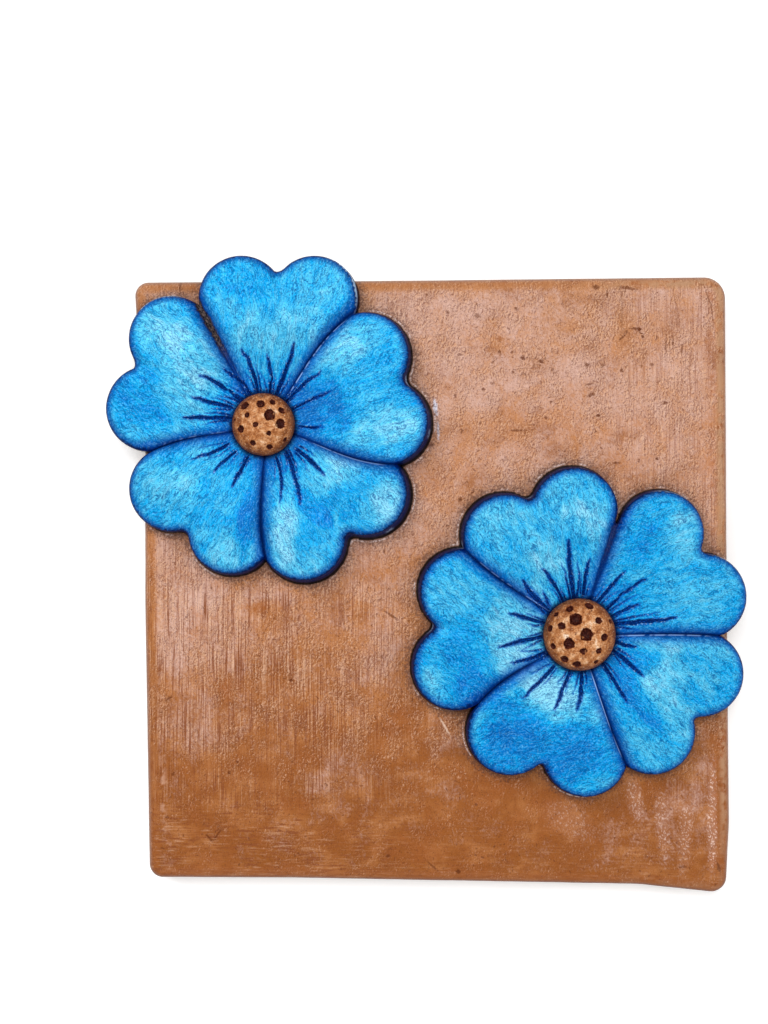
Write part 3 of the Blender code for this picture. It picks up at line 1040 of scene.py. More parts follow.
def nearest_seam(spec, distance, bearings):
    """Give the distance to the nearest seam, then its floor, bare clay and painted glint on one side.
    """
    away = np.full(distance.shape, 99.0)
    kind = np.zeros(distance.shape, int)
    lit = np.zeros(distance.shape)
    for index, bearing in enumerate(seam_bearings(spec["petals"])):
        off = np.radians(bearings - bearing)[None, :]
        aside = np.where(np.cos(off) > 0, np.abs(distance * np.sin(off)), 99.0)
        kind = np.where(aside < away, index, kind)
        lit = np.where(aside < away, np.sin(off) < 0, lit)
        away = np.minimum(away, aside)
    floor, clay, glint = (np.array([seam[i] for seam in spec["seams"]])[kind] for i in (1, 2, 3))
    return away, floor, clay, glint * lit


def flower_relief(spec, name, distance, bearings, seed, top):
    """Give the height of the petals' face, with the values that its paint follows."""
    number, _ = petal_spans(spec)
    turn = np.radians(bearings)[None, :]
    x = distance * np.cos(turn)
    y = distance * np.sin(turn)
    outline = flower_outline(spec, name, 0.0) - np.array(middle_of(name)[:2])
    rim = distance_to_line(x, y, outline)
    seam, floor, clay, glint = nearest_seam(spec, distance, bearings)
    away = smooth_step(distance, DISH_START, DISH_END)
    floor = floor * (0.25 + 0.75 * away)
    seam_width = SEAM_WIDTH[0] + (SEAM_WIDTH[1] - SEAM_WIDTH[0]) * away
    seam_depth = SEAM_DEPTH[0] + (SEAM_DEPTH[1] - SEAM_DEPTH[0]) * away
    seam_drop = pillow(np.maximum(seam - floor, 0.0), seam_width, seam_depth)
    rim_drop = pillow(rim, RIM_WIDTH, RIM_DEPTH)
    drop = (seam_drop ** 3 + rim_drop ** 3) ** (1 / 3)
    lift = np.array(spec["lifts"])[number][None, :] * away
    swell = PETAL_SWELL * lumps(x, y, 9.0, seed) * smooth_step(distance, *PETAL_START)
    strokes = brush_strokes(spec, distance, bearings, number)
    crinkle = lattice_noise(strokes[..., 0] / 0.8 + 40, strokes[..., 1] / 2.0 + 40, seed + 3)
    z = top - DISH_DEPTH * (1 - away) - drop - heart_crease(spec, distance, bearings)
    z += lift + swell + CRINKLE_DEPTH * crinkle
    tone = wash_tone(x, y, spec["washes"], seed + 5)
    tone += wash_tone(x, y, spec["crisp_washes"], seed + 5, CRISP_EDGE)
    tone -= spec["shade"] * (1 - smooth_step(distance, *PETAL_START))
    values = {
        "hub": distance - middle_of(name)[2],
        "rim": rim,
        "seam": seam - floor,
        "clay": clay * smooth_step(distance, *CLAY_START),
        "glint": glint * smooth_step(distance, *GLINT_START) * (1 - smooth_step(rim, *GLINT_END)),
        "tone": tone,
        "wall": np.zeros(distance.shape),
    }
    return z, values, strokes


def brush_strokes(spec, distance, bearings, number):
    """Give each place across and along its petal's brush marks, in mm, and a petal number."""
    angle, fan = np.array(spec["grain"], float)[number].T
    off = np.radians(bearings - angle)[None, :]
    opening = 1 - fan + fan * (0.45 + 0.55 * distance / 40)
    lateral = distance * np.sin(off) / opening
    along = distance * np.cos(off)
    return np.stack([lateral, along, np.broadcast_to(number * 23.0, along.shape)], axis=-1)


def heart_crease(spec, distance, bearings):
    """Give the shallow crease that runs inwards from each heart's notch."""
    crease = np.zeros(distance.shape)
    for petal in spec["petals"]:
        notch = (petal[0][0] + petal[1][0]) / 2
        reach = flower_edge(np.array([float(notch)]), spec["petals"])[0]
        off = np.radians(bearings - notch)[None, :]
        aside = np.abs(distance * np.sin(off))
        strength = smooth_step(distance, reach - CREASE_LENGTH, reach) * (np.cos(off) > 0)
        crease += CREASE_DEPTH * strength * (1 - smooth_step(aside, 0.0, CREASE_WIDTH))
    return crease


def make_flower(name, spec, seed):
    """Build a flower: a finely modelled face, a leaning side wall and a flat underside."""
    low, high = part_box("flower_" + name)
    foot = low.z / MM
    top = high.z / MM
    x, y, *_ = middle_of(name)
    bearings = flower_bearings(spec["petals"])
    reach = flower_edge(bearings, spec["petals"])
    number, across = petal_spans(spec)
    way_out = (1 - (1 - np.linspace(0, 1, FACE_RINGS)) ** RING_CROWDING)[:, None]
    distance = INNER_RING + (reach - INNER_RING)[None, :] * way_out
    z, values, strokes = flower_relief(spec, name, distance, bearings, seed, top)
    lean = wall_lean(spec, bearings)
    distances = [distance]
    heights = [z]
    walls = []
    for step in range(1, FLOWER_WALL_RINGS + 1):
        part = step / FLOWER_WALL_RINGS
        around = reach * np.radians(bearings)
        ripple = WALL_RIPPLE * lumps(around, np.full(len(bearings), 9 * part), 2.2, seed + 7)
        out = lean * part ** WALL_FLARE + ripple * math.sin(math.pi * part)
        distances.append((reach + out)[None, :])
        heights.append((z[-1] + (foot - z[-1]) * part)[None, :])
        walls.append(part)
    for part in UNDERSIDE_RINGS:
        distances.append(((reach + lean) * part)[None, :])
        heights.append(np.full((1, len(bearings)), foot))
        walls.append(1.0)
    distance = np.concatenate(distances)
    way_out = np.concatenate([way_out, np.ones((len(walls), 1))])
    turn = np.radians(bearings[None, :] + seam_twist(spec, across, number, way_out))
    z = np.minimum(np.concatenate(heights), top)
    rings = np.stack([x + distance * np.cos(turn), y + distance * np.sin(turn), z], axis=-1)
    poles = [(x, y, top - DISH_DEPTH), (x, y, foot)]
    flower, _ = ring_body("petals_" + name, rings, poles, "flower_" + name)
    for value, rows in values.items():
        lower = np.array(walls)[:, None] if value == "wall" else rows[-1:] * np.ones((len(walls), 1))
        filled = np.concatenate([rows, np.broadcast_to(lower, (len(walls), len(bearings)))])
        give_value(flower, value, np.append(filled, [rows[0, 0], lower[-1, 0]]))
    # Painted highlights: where the wall glints and where the rim's upper edge shows lit.
    for value, glints in (("shine", spec["glints"]), ("lit_rim", spec["lit_rims"])):
        shine = np.zeros(len(bearings))
        for bearing, width, strength in glints:
            off = np.abs((bearings - bearing + 180) % 360 - 180)
            shine += strength * (1 - smooth_step(off, 0.3 * width, width))
        give_value(flower, value, np.append(np.tile(shine, len(rings)), [0.0, 0.0]))
    filled = np.concatenate([strokes] + [strokes[-1:]] * len(walls)).reshape(-1, 3)
    give_vector(flower, "strokes", np.concatenate([filled, np.zeros((2, 3))]))
    return flower


def vein_lines(name, spec):
    """Draw the veins as curves on Z = 0 whose radius is the half width of the groove.

    Each vein of the table has two thin, shorter ones beside it.
    """
    x, y, *_ = middle_of(name)
    curve = bpy.data.curves.new("veins_" + name, "CURVE")
    curve.dimensions = "3D"
    wander = np.random.default_rng(71 + len(spec["veins"]))
    veins = list(spec["veins"])
    for start, near, end, far, width in spec["veins"]:
        for side in (-1, 1):
            swing = side * wander.uniform(*SIDE_VEIN_SWING)
            length = (far - near) * wander.uniform(*SIDE_VEIN_LENGTH)
            turned = end + SIDE_VEIN_SPREAD * swing
            veins.append((start + swing, near, turned, near + length, SIDE_VEIN_WIDTH * width))
    for start, near, end, far, width in veins:
        spline = curve.splines.new("POLY")
        spline.points.add(VEIN_POINTS - 1)
        bend = wander.normal(0.0, VEIN_BEND)
        for step, point in enumerate(spline.points):
            part = step / (VEIN_POINTS - 1)
            bearing = math.radians(start + (end - start) * part)
            distance = near + (far - near) * part
            sway = bend * math.sin(math.pi * part) + wander.normal(0.0, VEIN_TREMBLE) * part
            place_x = x + distance * math.cos(bearing) - sway * math.sin(bearing)
            place_y = y + distance * math.sin(bearing) + sway * math.cos(bearing)
            point.co = (place_x * MM, place_y * MM, 0.0, 1.0)
            point.radius = width / 2 * MM * (VEIN_TAPER[0] - VEIN_TAPER[1] * part ** 2)
    lines = bpy.data.objects.new("veins_" + name, curve)
    bpy.context.scene.collection.objects.link(lines)
    return lines


# Geometry Nodes

def new_tree(name, inputs):
    """Start a tree that takes a mesh and named sizes and gives a mesh."""
    tree = bpy.data.node_groups.new(name, "GeometryNodeTree")
    tree.interface.new_socket("Mesh", in_out="INPUT", socket_type="NodeSocketGeometry")
    for label, kind in inputs:
        tree.interface.new_socket(label, in_out="INPUT", socket_type="NodeSocket" + kind)
    tree.interface.new_socket("Mesh", in_out="OUTPUT", socket_type="NodeSocketGeometry")
    graph = Graph(tree)
    return tree, graph, graph.add("NodeGroupInput").outputs


def close_tree(graph, geometry, material):
    """End a tree with real geometry and its material."""
    real = graph.add("GeometryNodeRealizeInstances", {0: geometry})
    painted = graph.add("GeometryNodeSetMaterial", {"Geometry": real, "Material": material})
    graph.add("NodeGroupOutput", {0: painted})


def sample_number(graph, geometry, name, index):
    """Read a named number of another mesh at a vertex."""
    named = graph.add("GeometryNodeInputNamedAttribute", {"Name": name}, data_type="FLOAT")
    inputs = {"Geometry": geometry, "Value": named.outputs["Attribute"], "Index": index}
    return graph.add("GeometryNodeSampleIndex", inputs, data_type="FLOAT", domain="POINT")


def sample_place(graph, geometry, index):
    """Read the place of another mesh's vertex."""
    place = graph.add("GeometryNodeInputPosition")
    inputs = {"Geometry": geometry, "Value": place, "Index": index}
    return graph.add("GeometryNodeSampleIndex", inputs, data_type="FLOAT_VECTOR", domain="POINT")


def store_number(graph, geometry, name, value):
    """Keep a number on each vertex under a name."""
    inputs = {"Geometry": geometry, "Name": name, "Value": value}
    return graph.add("GeometryNodeStoreNamedAttribute", inputs, data_type="FLOAT", domain="POINT")


def object_mesh(graph, source):
    """Take in another object's shape, where it stands."""
    node = graph.add("GeometryNodeObjectInfo", {"Object": source}, transform_space="RELATIVE")
    return node.outputs["Geometry"]


def ragged_distance(graph, place, spot, size, detail, roughness, raggedness):
    """Give the distance from a place to a spot, made uneven by noise."""
    away = graph.vector("DISTANCE", place, spot).outputs["Value"]
    whole_place = graph.scaled(graph.add("GeometryNodeInputPosition"), 1 / MM)
    ragged = graph.noise(whole_place, size, detail, roughness)
    rough = graph.math("MULTIPLY", graph.math("SUBTRACT", ragged, 0.5), raggedness)
    return graph.math("MULTIPLY", away, graph.math("ADD", rough, 1.0))


def press(graph, value, points):
    """Shape the section of a pressed mark from a row of points."""
    node = graph.add("ShaderNodeFloatCurve", {"Value": graph.math("MINIMUM", value, 1.0)})
    curve = node.mapping.curves[0]
    for _ in range(len(points) - 2):
        curve.points.new(0.5, 0.5)
    for point, place in zip(curve.points, points):
        point.location = place
    node.mapping.update()
    return node


def vein_tree():
    """Press a ragged groove into a mesh along curves, and mark it as an attribute."""
    tree, graph, given = new_tree("vein grooves", (
        ("Lines", "Object"),
        ("Depth", "Float"),
        ("Full half width", "Float"),
        ("Raggedness", "Float"),
        ("Step along line", "Float"),
        ("Material", "Material"),
    ))
    lines = object_mesh(graph, given["Lines"])
    stepped = graph.add("GeometryNodeResampleCurve", {"Curve": lines})
    stepped.mode = "LENGTH"
    graph.feed(stepped.inputs["Length"], given["Step along line"])
    kept = store_number(graph, stepped, "half_width", graph.add("GeometryNodeInputRadius"))
    wire = graph.add("GeometryNodeCurveToMesh", {"Curve": kept})

    place = graph.add("GeometryNodeInputPosition")
    flat = graph.vector("MULTIPLY", place, (1.0, 1.0, 0.0))
    nearest = graph.add("GeometryNodeSampleNearest", {"Geometry": wire, "Sample Position": flat})
    spot = sample_place(graph, wire, nearest)
    half = sample_number(graph, wire, "half_width", nearest)
    away = ragged_distance(graph, flat, spot, 0.8, 3.0, 0.65, given["Raggedness"])
    ratio = graph.math("DIVIDE", away, graph.math("MULTIPLY", half, 2.0))
    section = press(graph, ratio, VEIN_SECTION)
    level = graph.math("SUBTRACT", section, VEIN_SECTION[-1][1])
    fullness = graph.math("DIVIDE", half, given["Full half width"], clamp=True)
    drop = graph.product(level, fullness, given["Depth"])
    offset = graph.add("ShaderNodeCombineXYZ", {"Z": graph.math("MULTIPLY", drop, -1.0)})
    normal = graph.add("GeometryNodeInputNormal")
    upright = graph.add("ShaderNodeSeparateXYZ", {0: normal.outputs["Normal"]})
    facing = graph.math("GREATER_THAN", upright.outputs["Z"], 0.2)
    inputs = {"Geometry": given["Mesh"], "Selection": facing, "Offset": offset}
    moved = graph.add("GeometryNodeSetPosition", inputs)
    body = graph.math("MULTIPLY", graph.fade(ratio, 0.1, 1.5, 1.0, 0.0), facing)
    mark = graph.math("MULTIPLY", body, graph.fade(fullness, 0.1, 0.6, 0.45, 1.0))
    close_tree(graph, store_number(graph, moved, "vein", mark), given["Material"])
    return tree


def pit_tree():
    """Press round pits into a mesh at the vertices of another, each as wide as it says."""
    tree, graph, given = new_tree("pressed pits", (
        ("Places", "Object"),
        ("Depth as part of width", "Float"),
        ("Raggedness", "Float"),
        ("Material", "Material"),
    ))
    spots = object_mesh(graph, given["Places"])
    place = graph.add("GeometryNodeInputPosition")
    nearest = graph.add("GeometryNodeSampleNearest", {"Geometry": spots, "Sample Position": place})
    spot = sample_place(graph, spots, nearest)
    width = sample_number(graph, spots, "width", nearest)
    away = ragged_distance(graph, place, spot, 1.1, 2.0, 0.5, given["Raggedness"])
    ratio = graph.math("DIVIDE", away, width)
    section = press(graph, ratio, PIT_SECTION)
    level = graph.math("SUBTRACT", section, PIT_SECTION[-1][1])
    drop = graph.product(level, width, given["Depth as part of width"])
    normal = graph.add("GeometryNodeInputNormal")
    offset = graph.scaled(normal.outputs["Normal"], graph.math("MULTIPLY", drop, -1.0))
    moved = graph.add("GeometryNodeSetPosition", {"Geometry": given["Mesh"], "Offset": offset})
    pit = graph.fade(ratio, 0.40, 0.60, 1.0, 0.0)
    close_tree(graph, store_number(graph, moved, "pit", pit), given["Material"])
    return tree


def run_tree(obj, tree, values):
    """Run a tree on an object, then keep its result as a plain mesh."""
    modifier = obj.modifiers.new(tree.name, "NODES")
    modifier.node_group = tree
    for socket in tree.interface.items_tree:
        if socket.in_out == "INPUT" and socket.name in values:
            modifier[socket.identifier] = values[socket.name]
    evaluated = obj.evaluated_get(bpy.context.evaluated_depsgraph_get())
    result = bpy.data.meshes.new_from_object(evaluated)
    obj.modifiers.clear()
    obj.data = result
    result.shade_smooth()


# Centres

def make_centre(name, seed):
    """Build a centre: a ball of clay pressed flat on its foot, a little out of round."""
    x, y, radius, foot, height = middle_of(name)
    bearings = np.linspace(0, 2 * math.pi, CENTRE_SIDES, endpoint=False)[None, :]
    climb = np.linspace(0.0, 1.0, CENTRE_RINGS)[1:, None] * math.pi / 2
    out = radius * np.sin(climb) ** CENTRE_FULLNESS
    up = height * np.cos(climb)
    wobble = CENTRE_LUMP * lumps(out * np.cos(bearings), out * np.sin(bearings), 3.4, seed)
    shrink = 1 - (CENTRE_SHRINK + wobble * CENTRE_UNROUND) / radius * np.sin(climb)
    places = np.stack(
        [
            x + out * shrink * np.cos(bearings),
            y + out * shrink * np.sin(bearings),
            foot + np.broadcast_to(up, out.shape) + (wobble - CENTRE_LUMP) * np.cos(climb),
        ],
        axis=-1,
    )
    places[-1, :, 2] = foot
    inner = places[-1].copy()
    middle = np.array([x, y])
    inner[:, :2] = middle + (inner[:, :2] - middle) * CENTRE_UNDERSIDE
    rings = np.concatenate([places, inner[None]])
    poles = [(x, y, foot + height - CENTRE_LUMP), (x, y, foot)]
    centre, flat = ring_body("button_" + name, rings, poles, "centre_" + name)
    give_value(centre, "above_foot", flat[:, 2] - foot)
    return centre


def pit_places(name, spec):
    """Give a mesh with one vertex on the centre's surface for each pit."""
    x, y, radius, foot, height = middle_of(name)
    places = []
    for across, up, _ in spec["pits"]:
        way_out = math.hypot(across, up) ** (1 / CENTRE_FULLNESS)
        rise = height * math.sqrt(1 - way_out ** 2)
        places.append((x + across * radius, y + up * radius, foot + rise - PIT_SINK))
    spots = mesh_object("pits_" + name, np.array(places), [])
    give_value(spots, "width", np.array([width * MM for _, _, width in spec["pits"]]))
    return spots


# Finishes

def new_finish(name):
    """Start a finish and give its graph, its shader and the place on the object in mm."""
    material = bpy.data.materials.new(name)
    material.use_nodes = True
    graph = Graph(material.node_tree)
    shader = material.node_tree.nodes["Principled BSDF"]
    place = graph.add("ShaderNodeTexCoord").outputs["Object"]
    return material, graph, shader, graph.scaled(place, 1 / MM).outputs[0]


def add_relief(graph, shader, height, distance):
    """Feed a height to the shader as fine relief, with its full depth in mm."""
    inputs = {"Height": height, "Distance": distance * MM, "Strength": 1.0}
    graph.feed(shader.inputs["Normal"], graph.add("ShaderNodeBump", inputs))


def warp(graph, place, size, amount):
    """Give a small wandering offset in mm."""
    wander = graph.noise(place, size, 1.0)
    centred = graph.vector("SUBTRACT", wander.outputs["Color"], (0.5, 0.5, 0.5))
    return graph.scaled(centred, amount * 2)


def petal_paint():
    """Pearly blue paint: pale on the faces, navy in veins, seams and rims, with painted light and
    shade.
    """
    material, graph, shader, place = new_finish("petal_paint")
    strokes = graph.attribute("strokes", "Vector")
    swirled = graph.vector("ADD", strokes, warp(graph, place, 5.0, 1.8))
    wandering = graph.vector("ADD", swirled, warp(graph, place, 1.2, 0.5))
    brushed = graph.noise(swirled, (1.5, 9.0, 1.0), 3.0, 0.6)
    leather = graph.noise(wandering, LEATHER, 2.0, 0.55)
    shifted = graph.noise(graph.vector("ADD", wandering, EMBOSS_SHIFT), LEATHER, 2.0, 0.55)
    relief = graph.math("SUBTRACT", leather, shifted)
    grain = graph.noise(place, 0.40, 2.0, 0.6)
    wobble = graph.spread(leather, 1.4)
    rim = graph.math("ADD", graph.attribute("rim"), wobble)
    seam = graph.math("ADD", graph.attribute("seam"), wobble)
    colour = paint_tones(graph, place, brushed, leather)
    # Darker blue towards the rims and seams: partly paint, partly painted shade where the surface
    # curves down.
    colour = graph.layers(
        colour,
        (rim, 0.6, 2.6, 0.88, 0.0, rgb(0, 72, 168)),
        (seam, 0.5, 3.7, 0.86, 0.0, rgb(0, 76, 172)),
    )
    # Painted light and shade on the brush marks: dark far sides, pale near sides.
    colour = graph.emboss(colour, relief, rgb(0, 78, 146), rgb(120, 208, 246), 0.34)
    colour = paint_hairs(graph, colour, place, wandering, leather, grain)
    # Navy lines at the rim's edge and along the seams' middles: partly paint, partly painted shade.
    colour = graph.layers(
        colour,
        (rim, 0.2, 0.9, 0.96, 0.0, rgb(0, 20, 74)),
        (seam, 0.1, 1.0, 0.80, 0.0, rgb(0, 34, 112)),
    )
    # Painted highlight: a pale line on the rim's upper edge.
    lit = graph.math("MULTIPLY", graph.attribute("lit_rim"), graph.fade(rim, 0.1, 0.4, 1.0, 0.0))
    colour = graph.tint(lit, colour, rgb(160, 192, 222))
    wet = graph.noise(place, 0.5, 2.0)
    colour = paint_veins(graph, colour, grain, wet)
    # Painted shadow: near black on the petals where they meet the centre.
    hub = graph.math("ADD", graph.attribute("hub"), wobble)
    colour = graph.layers(colour, (hub, 0.0, 1.5, 0.95, 0.0, rgb(0, 12, 50)))
    # Painted highlight: a thin pale line of varnish glint beside some seams.
    along = graph.fade(graph.noise(strokes, (9.0, 2.4, 1.0), 2.0), 0.42, 0.52)
    line = graph.band(graph.attribute("seam"), 0.10, 0.56)
    glint = graph.product(graph.attribute("glint"), along, line)
    colour = graph.tint(glint, colour, rgb(150, 190, 246))

    clay = graph.tint(graph.fade(wet, 0.36, 0.66), rgb(26, 24, 30), rgb(96, 82, 80))
    bare = graph.math("MULTIPLY", graph.attribute("clay"), graph.fade(seam, 0.0, 0.5, 1.0, 0.0))
    colour = graph.tint(bare, colour, clay)
    colour = wall_tones(graph, colour, wet)
    graph.feed(shader.inputs["Base Color"], colour)
    graph.feed(shader.inputs["Roughness"], graph.fade(leather, 0.35, 0.65, 0.36, 0.48))
    shader.inputs["Metallic"].default_value = 0.15
    shader.inputs["Specular IOR Level"].default_value = PAINT_SHINE
    height = graph.math("ADD", leather, graph.math("MULTIPLY", brushed, 0.6))
    add_relief(graph, shader, height, PAINT_RELIEF)
    return material


def paint_tones(graph, place, brushed, leather):
    """Give the paint's broad tones, from deep azure to pale sky, with the brush's streaks."""
    patches = graph.noise(place, 7.0, 3.0, 0.60, 0.5)
    streaks = graph.spread(brushed, 1.7)
    mottle = graph.spread(patches, 1.5)
    tone = graph.total(graph.attribute("tone"), streaks, mottle, graph.spread(leather, 0.7))
    return graph.ramp(graph.add("ShaderNodeMapRange", {0: tone, 1: -1.1, 2: 1.1}), (
        (0.00, rgb(0, 110, 192)),
        (0.20, rgb(0, 140, 216)),
        (0.42, rgb(8, 166, 228)),
        (0.68, rgb(80, 194, 232)),
        (1.00, rgb(140, 217, 242)),
    ))


def paint_hairs(graph, colour, place, wandering, leather, grain):
    """Add fine dark hairs and cracks that come and go, and a pale and dark grain."""
    presence = graph.fade(graph.noise(place, 4.0, 2.0), 0.38, 0.58, 0.30, 1.0)
    colour = graph.layers(
        colour,
        (grain, 0.46, 0.34, 0.0, 0.54, rgb(0, 82, 148)),
        (grain, 0.56, 0.70, 0.0, 0.30, rgb(140, 216, 248)),
    )
    crackle = graph.product(graph.ridge(leather, 0.06), presence, 0.68)
    colour = graph.tint(crackle, colour, rgb(0, 68, 128))
    hair = graph.noise(wandering, (0.80, 4.2, 1.0), 1.0, 0.5)
    hairline = graph.math("MULTIPLY", graph.ridge(hair, 0.045), 0.68)
    return graph.tint(hairline, colour, rgb(0, 74, 138))


def paint_veins(graph, colour, grain, wet):
    """Add the veins: a blue halo, ragged navy ink, and pale specks of painted glint along it."""
    vein = graph.attribute("vein")
    ragged = graph.math("ADD", vein, graph.spread(wet, 1.0))
    ink = graph.tint(graph.fade(grain, 0.48, 0.62), rgb(0, 24, 86), rgb(0, 64, 152))
    colour = graph.layers(
        colour,
        (vein, 0.04, 0.50, 0.0, 0.66, rgb(0, 82, 172)),
        (ragged, 0.44, 0.84, 0.0, 0.95, ink),
    )
    # Painted highlight: pale glints along the veins.
    vein_glint = graph.product(graph.fade(wet, 0.57, 0.66), graph.band(vein, 0.30, 1.00), 0.7)
    return graph.tint(vein_glint, colour, rgb(136, 192, 248))


def wall_tones(graph, colour, wet):
    """Paint the side walls: navy at the rim, dusky below, black painted shadow at the foot, painted
    glints.
    """
    wall = graph.attribute("wall")
    # Painted shade: darker down the wall, black at its foot and on the underside.
    tone = graph.ramp(wall, (
        (0.00, rgb(0, 34, 96)),
        (0.30, rgb(0, 26, 82)),
        (0.52, rgb(14, 24, 62)),
        (0.70, rgb(10, 12, 28)),
        (0.86, rgb(3, 3, 5)),
    ))
    # Painted highlight: pale varnish glints on the wall.
    lit = graph.band(wall, 0.10, 0.75)
    glint = graph.product(graph.attribute("shine"), lit, graph.fade(wet, 0.36, 0.52))
    tone = graph.tint(glint, tone, rgb(176, 200, 236))
    return graph.tint(graph.fade(wall, 0.0, 0.06), colour, tone)


def slab_stain():
    """Brown stain wiped over fired clay, with painted sheen: pinkish above, caramel below, scratched,
    specked.
    """
    material, graph, shader, place = new_finish("slab_stain")
    inset = graph.attribute("inset")
    edge_on = graph.fade(inset, 1.6, 4.0, 1.0, 0.0)
    patches = graph.noise(place, (8.0, 11.0, 9.0), 4.0, 0.62, 0.6)
    rough = graph.fade(graph.noise(place, (5.0, 6.5, 6.0), 3.0, 0.65), 0.38, 0.64, 0.35, 1.1)
    height = graph.add("ShaderNodeSeparateXYZ", {0: place}).outputs["Y"]
    rough = graph.math("MULTIPLY", rough, graph.fade(height, -56.0, -34.0, 0.40, 1.0))
    wandering = graph.vector("ADD", place, warp(graph, place, 1.8, 0.8))
    crinkle = graph.noise(wandering, CRINKLE, 3.0, 0.55, 0.3)
    shifted = graph.noise(graph.vector("ADD", wandering, EMBOSS_SHIFT), CRINKLE, 3.0, 0.55, 0.3)
    relief = graph.math("MULTIPLY", graph.math("SUBTRACT", crinkle, shifted), rough)
    grain = graph.noise(place, 0.32, 2.0, 0.6)
    colour = stain_tones(graph, place, patches, crinkle, edge_on)
    # Painted light and shade on the stain's relief: dark far sides, pale near sides.
    colour = graph.emboss(colour, relief, rgb(112, 62, 36), rgb(226, 182, 152), 0.85)
    colour = streak_lines(graph, colour, place, patches, edge_on)
    scratch = graph.product(graph.ridge(crinkle, 0.03), rough, 0.50)
    colour = graph.tint(scratch, colour, rgb(108, 60, 36))
    colour = stain_specks(graph, colour, wandering, grain, rough)

    mark = small_mark(graph, grain, crinkle)
    # The last tone is a painted highlight: a pale varnish glint.
    tone = graph.ramp(graph.attribute("mark_tone"), (
        (0.00, rgb(94, 42, 10)),
        (0.30, rgb(158, 90, 42)),
        (0.60, rgb(232, 198, 176)),
        (1.00, rgb(222, 226, 244)),
    ))
    colour = graph.tint(mark, colour, tone)
    colour = edge_tones(graph, colour, place, inset)
    colour = sparkle(graph, colour, place, crinkle)
    colour = foot_shade(graph, colour, place, patches)

    side = graph.tint(graph.fade(crinkle, 0.38, 0.62), rgb(112, 76, 54), rgb(164, 128, 102))
    colour = graph.tint(graph.fade(graph.attribute("depth"), 0.0, 0.15), colour, side)
    graph.feed(shader.inputs["Base Color"], colour)
    graph.feed(shader.inputs["Roughness"], graph.fade(crinkle, 0.35, 0.65, 0.52, 0.36))
    shader.inputs["Specular IOR Level"].default_value = STAIN_SHINE
    pocks = graph.math("MULTIPLY", crinkle, graph.math("ADD", rough, 0.3))
    pocks = graph.math("SUBTRACT", pocks, graph.math("MULTIPLY", mark, 0.5))
    add_relief(graph, shader, pocks, STAIN_RELIEF)
    return material


def stain_specks(graph, colour, wandering, grain, rough):
    """Add the slab's dark and pale flecks and its grain; the pale ones only where it is rough."""
    flecks = graph.noise(wandering, (0.75, 1.05, 0.9), 2.0, 0.65)
    colour = graph.layers(colour, (flecks, 0.37, 0.29, 0.0, 0.66, rgb(96, 48, 24)))
    pale = graph.math("MULTIPLY", graph.fade(flecks, 0.66, 0.73, 0.0, 0.40), rough)
    colour = graph.layers(
        graph.tint(pale, colour, rgb(232, 196, 172)),
        (grain, 0.46, 0.34, 0.0, 0.40, rgb(112, 64, 38)),
        (grain, 0.34, 0.28, 0.0, 0.55, rgb(78, 42, 26)),
    )
    pale = graph.math("MULTIPLY", graph.fade(grain, 0.57, 0.70, 0.0, 0.30), rough)
    return graph.tint(pale, colour, rgb(228, 190, 166))


def sparkle(graph, colour, place, crinkle):
    """Paint the varnish's pinkish sheen, with fine whitish specks of painted sparkle in it."""
    amount = graph.attribute("sparkle")
    specks = graph.noise(place, (0.34, 0.60, 0.5), 2.0, 0.6)
    colour = graph.tint(graph.math("MULTIPLY", amount, 0.16), colour, rgb(206, 160, 140))
    bright = graph.math("ADD", graph.spread(crinkle, 1.0), specks)
    bright = graph.product(graph.fade(bright, 0.54, 0.70), amount, 0.58)
    return graph.tint(bright, colour, rgb(236, 206, 192))


def small_mark(graph, grain, crinkle):
    """Draw the slab's small marks as soft-edged ellipses with ragged edges."""
    axes = graph.add("ShaderNodeSeparateXYZ", {0: graph.attribute("mark", "Vector")})
    flat = graph.add("ShaderNodeCombineXYZ", {0: axes.outputs["X"], 1: axes.outputs["Y"]})
    away = graph.add("ShaderNodeVectorMath", {0: flat}, operation="LENGTH").outputs["Value"]
    away = graph.total(away, graph.spread(grain, 1.6), graph.spread(crinkle, 1.8))
    near = graph.math("LESS_THAN", axes.outputs["Z"], MARK_GAP)
    shown = graph.math("MULTIPLY", graph.fade(away, 0.5, 1.4, 0.9, 0.0), near)
    strength = graph.math("MULTIPLY", graph.attribute("mark_strength"), MARK_STRENGTH)
    return graph.math("MULTIPLY", shown, strength, clamp=True)


def streak_lines(graph, colour, place, patches, edge_on):
    """Add the brush's thin streaks in patches: upright at the left and edges, level below."""
    axes = graph.add("ShaderNodeSeparateXYZ", {0: place})
    x, y = axes.outputs["X"], axes.outputs["Y"]
    upright = graph.noise(place, (0.36, 15.0, 1.0), 2.0, 0.6, 0.10)
    sideways = graph.noise(place, (5.0, 0.55, 1.0), 2.0, 0.6, 0.3)
    low_down = graph.fade(y, -66.0, -50.0, 1.0, 0.0)
    lines = graph.blend(low_down, upright, sideways)
    left = graph.fade(x, -34.0, 4.0, 1.25, 0.35)
    middle = graph.math("MULTIPLY", left, graph.fade(y, -8.0, 6.0, 1.0, 0.50))
    low = graph.math("MULTIPLY", low_down, 0.45)
    right = graph.fade(x, 38.0, 52.0, 0.0, 0.60)
    shown = graph.math("MAXIMUM", graph.math("MAXIMUM", middle, right), low)
    shown = graph.math("MAXIMUM", shown, graph.math("MULTIPLY", edge_on, 0.7))
    shown = graph.math("MULTIPLY", shown, graph.fade(patches, 0.40, 0.54, 0.35, 1.0))
    dark = graph.math("MULTIPLY", graph.fade(lines, 0.48, 0.39, 0.0, 0.72), shown)
    faint = graph.fade(y, -44.0, -20.0, 0.20, 0.50)
    pale = graph.product(graph.fade(lines, 0.55, 0.68), shown, faint)
    colour = graph.tint(dark, colour, rgb(130, 70, 36))
    return graph.tint(pale, colour, rgb(226, 182, 150))


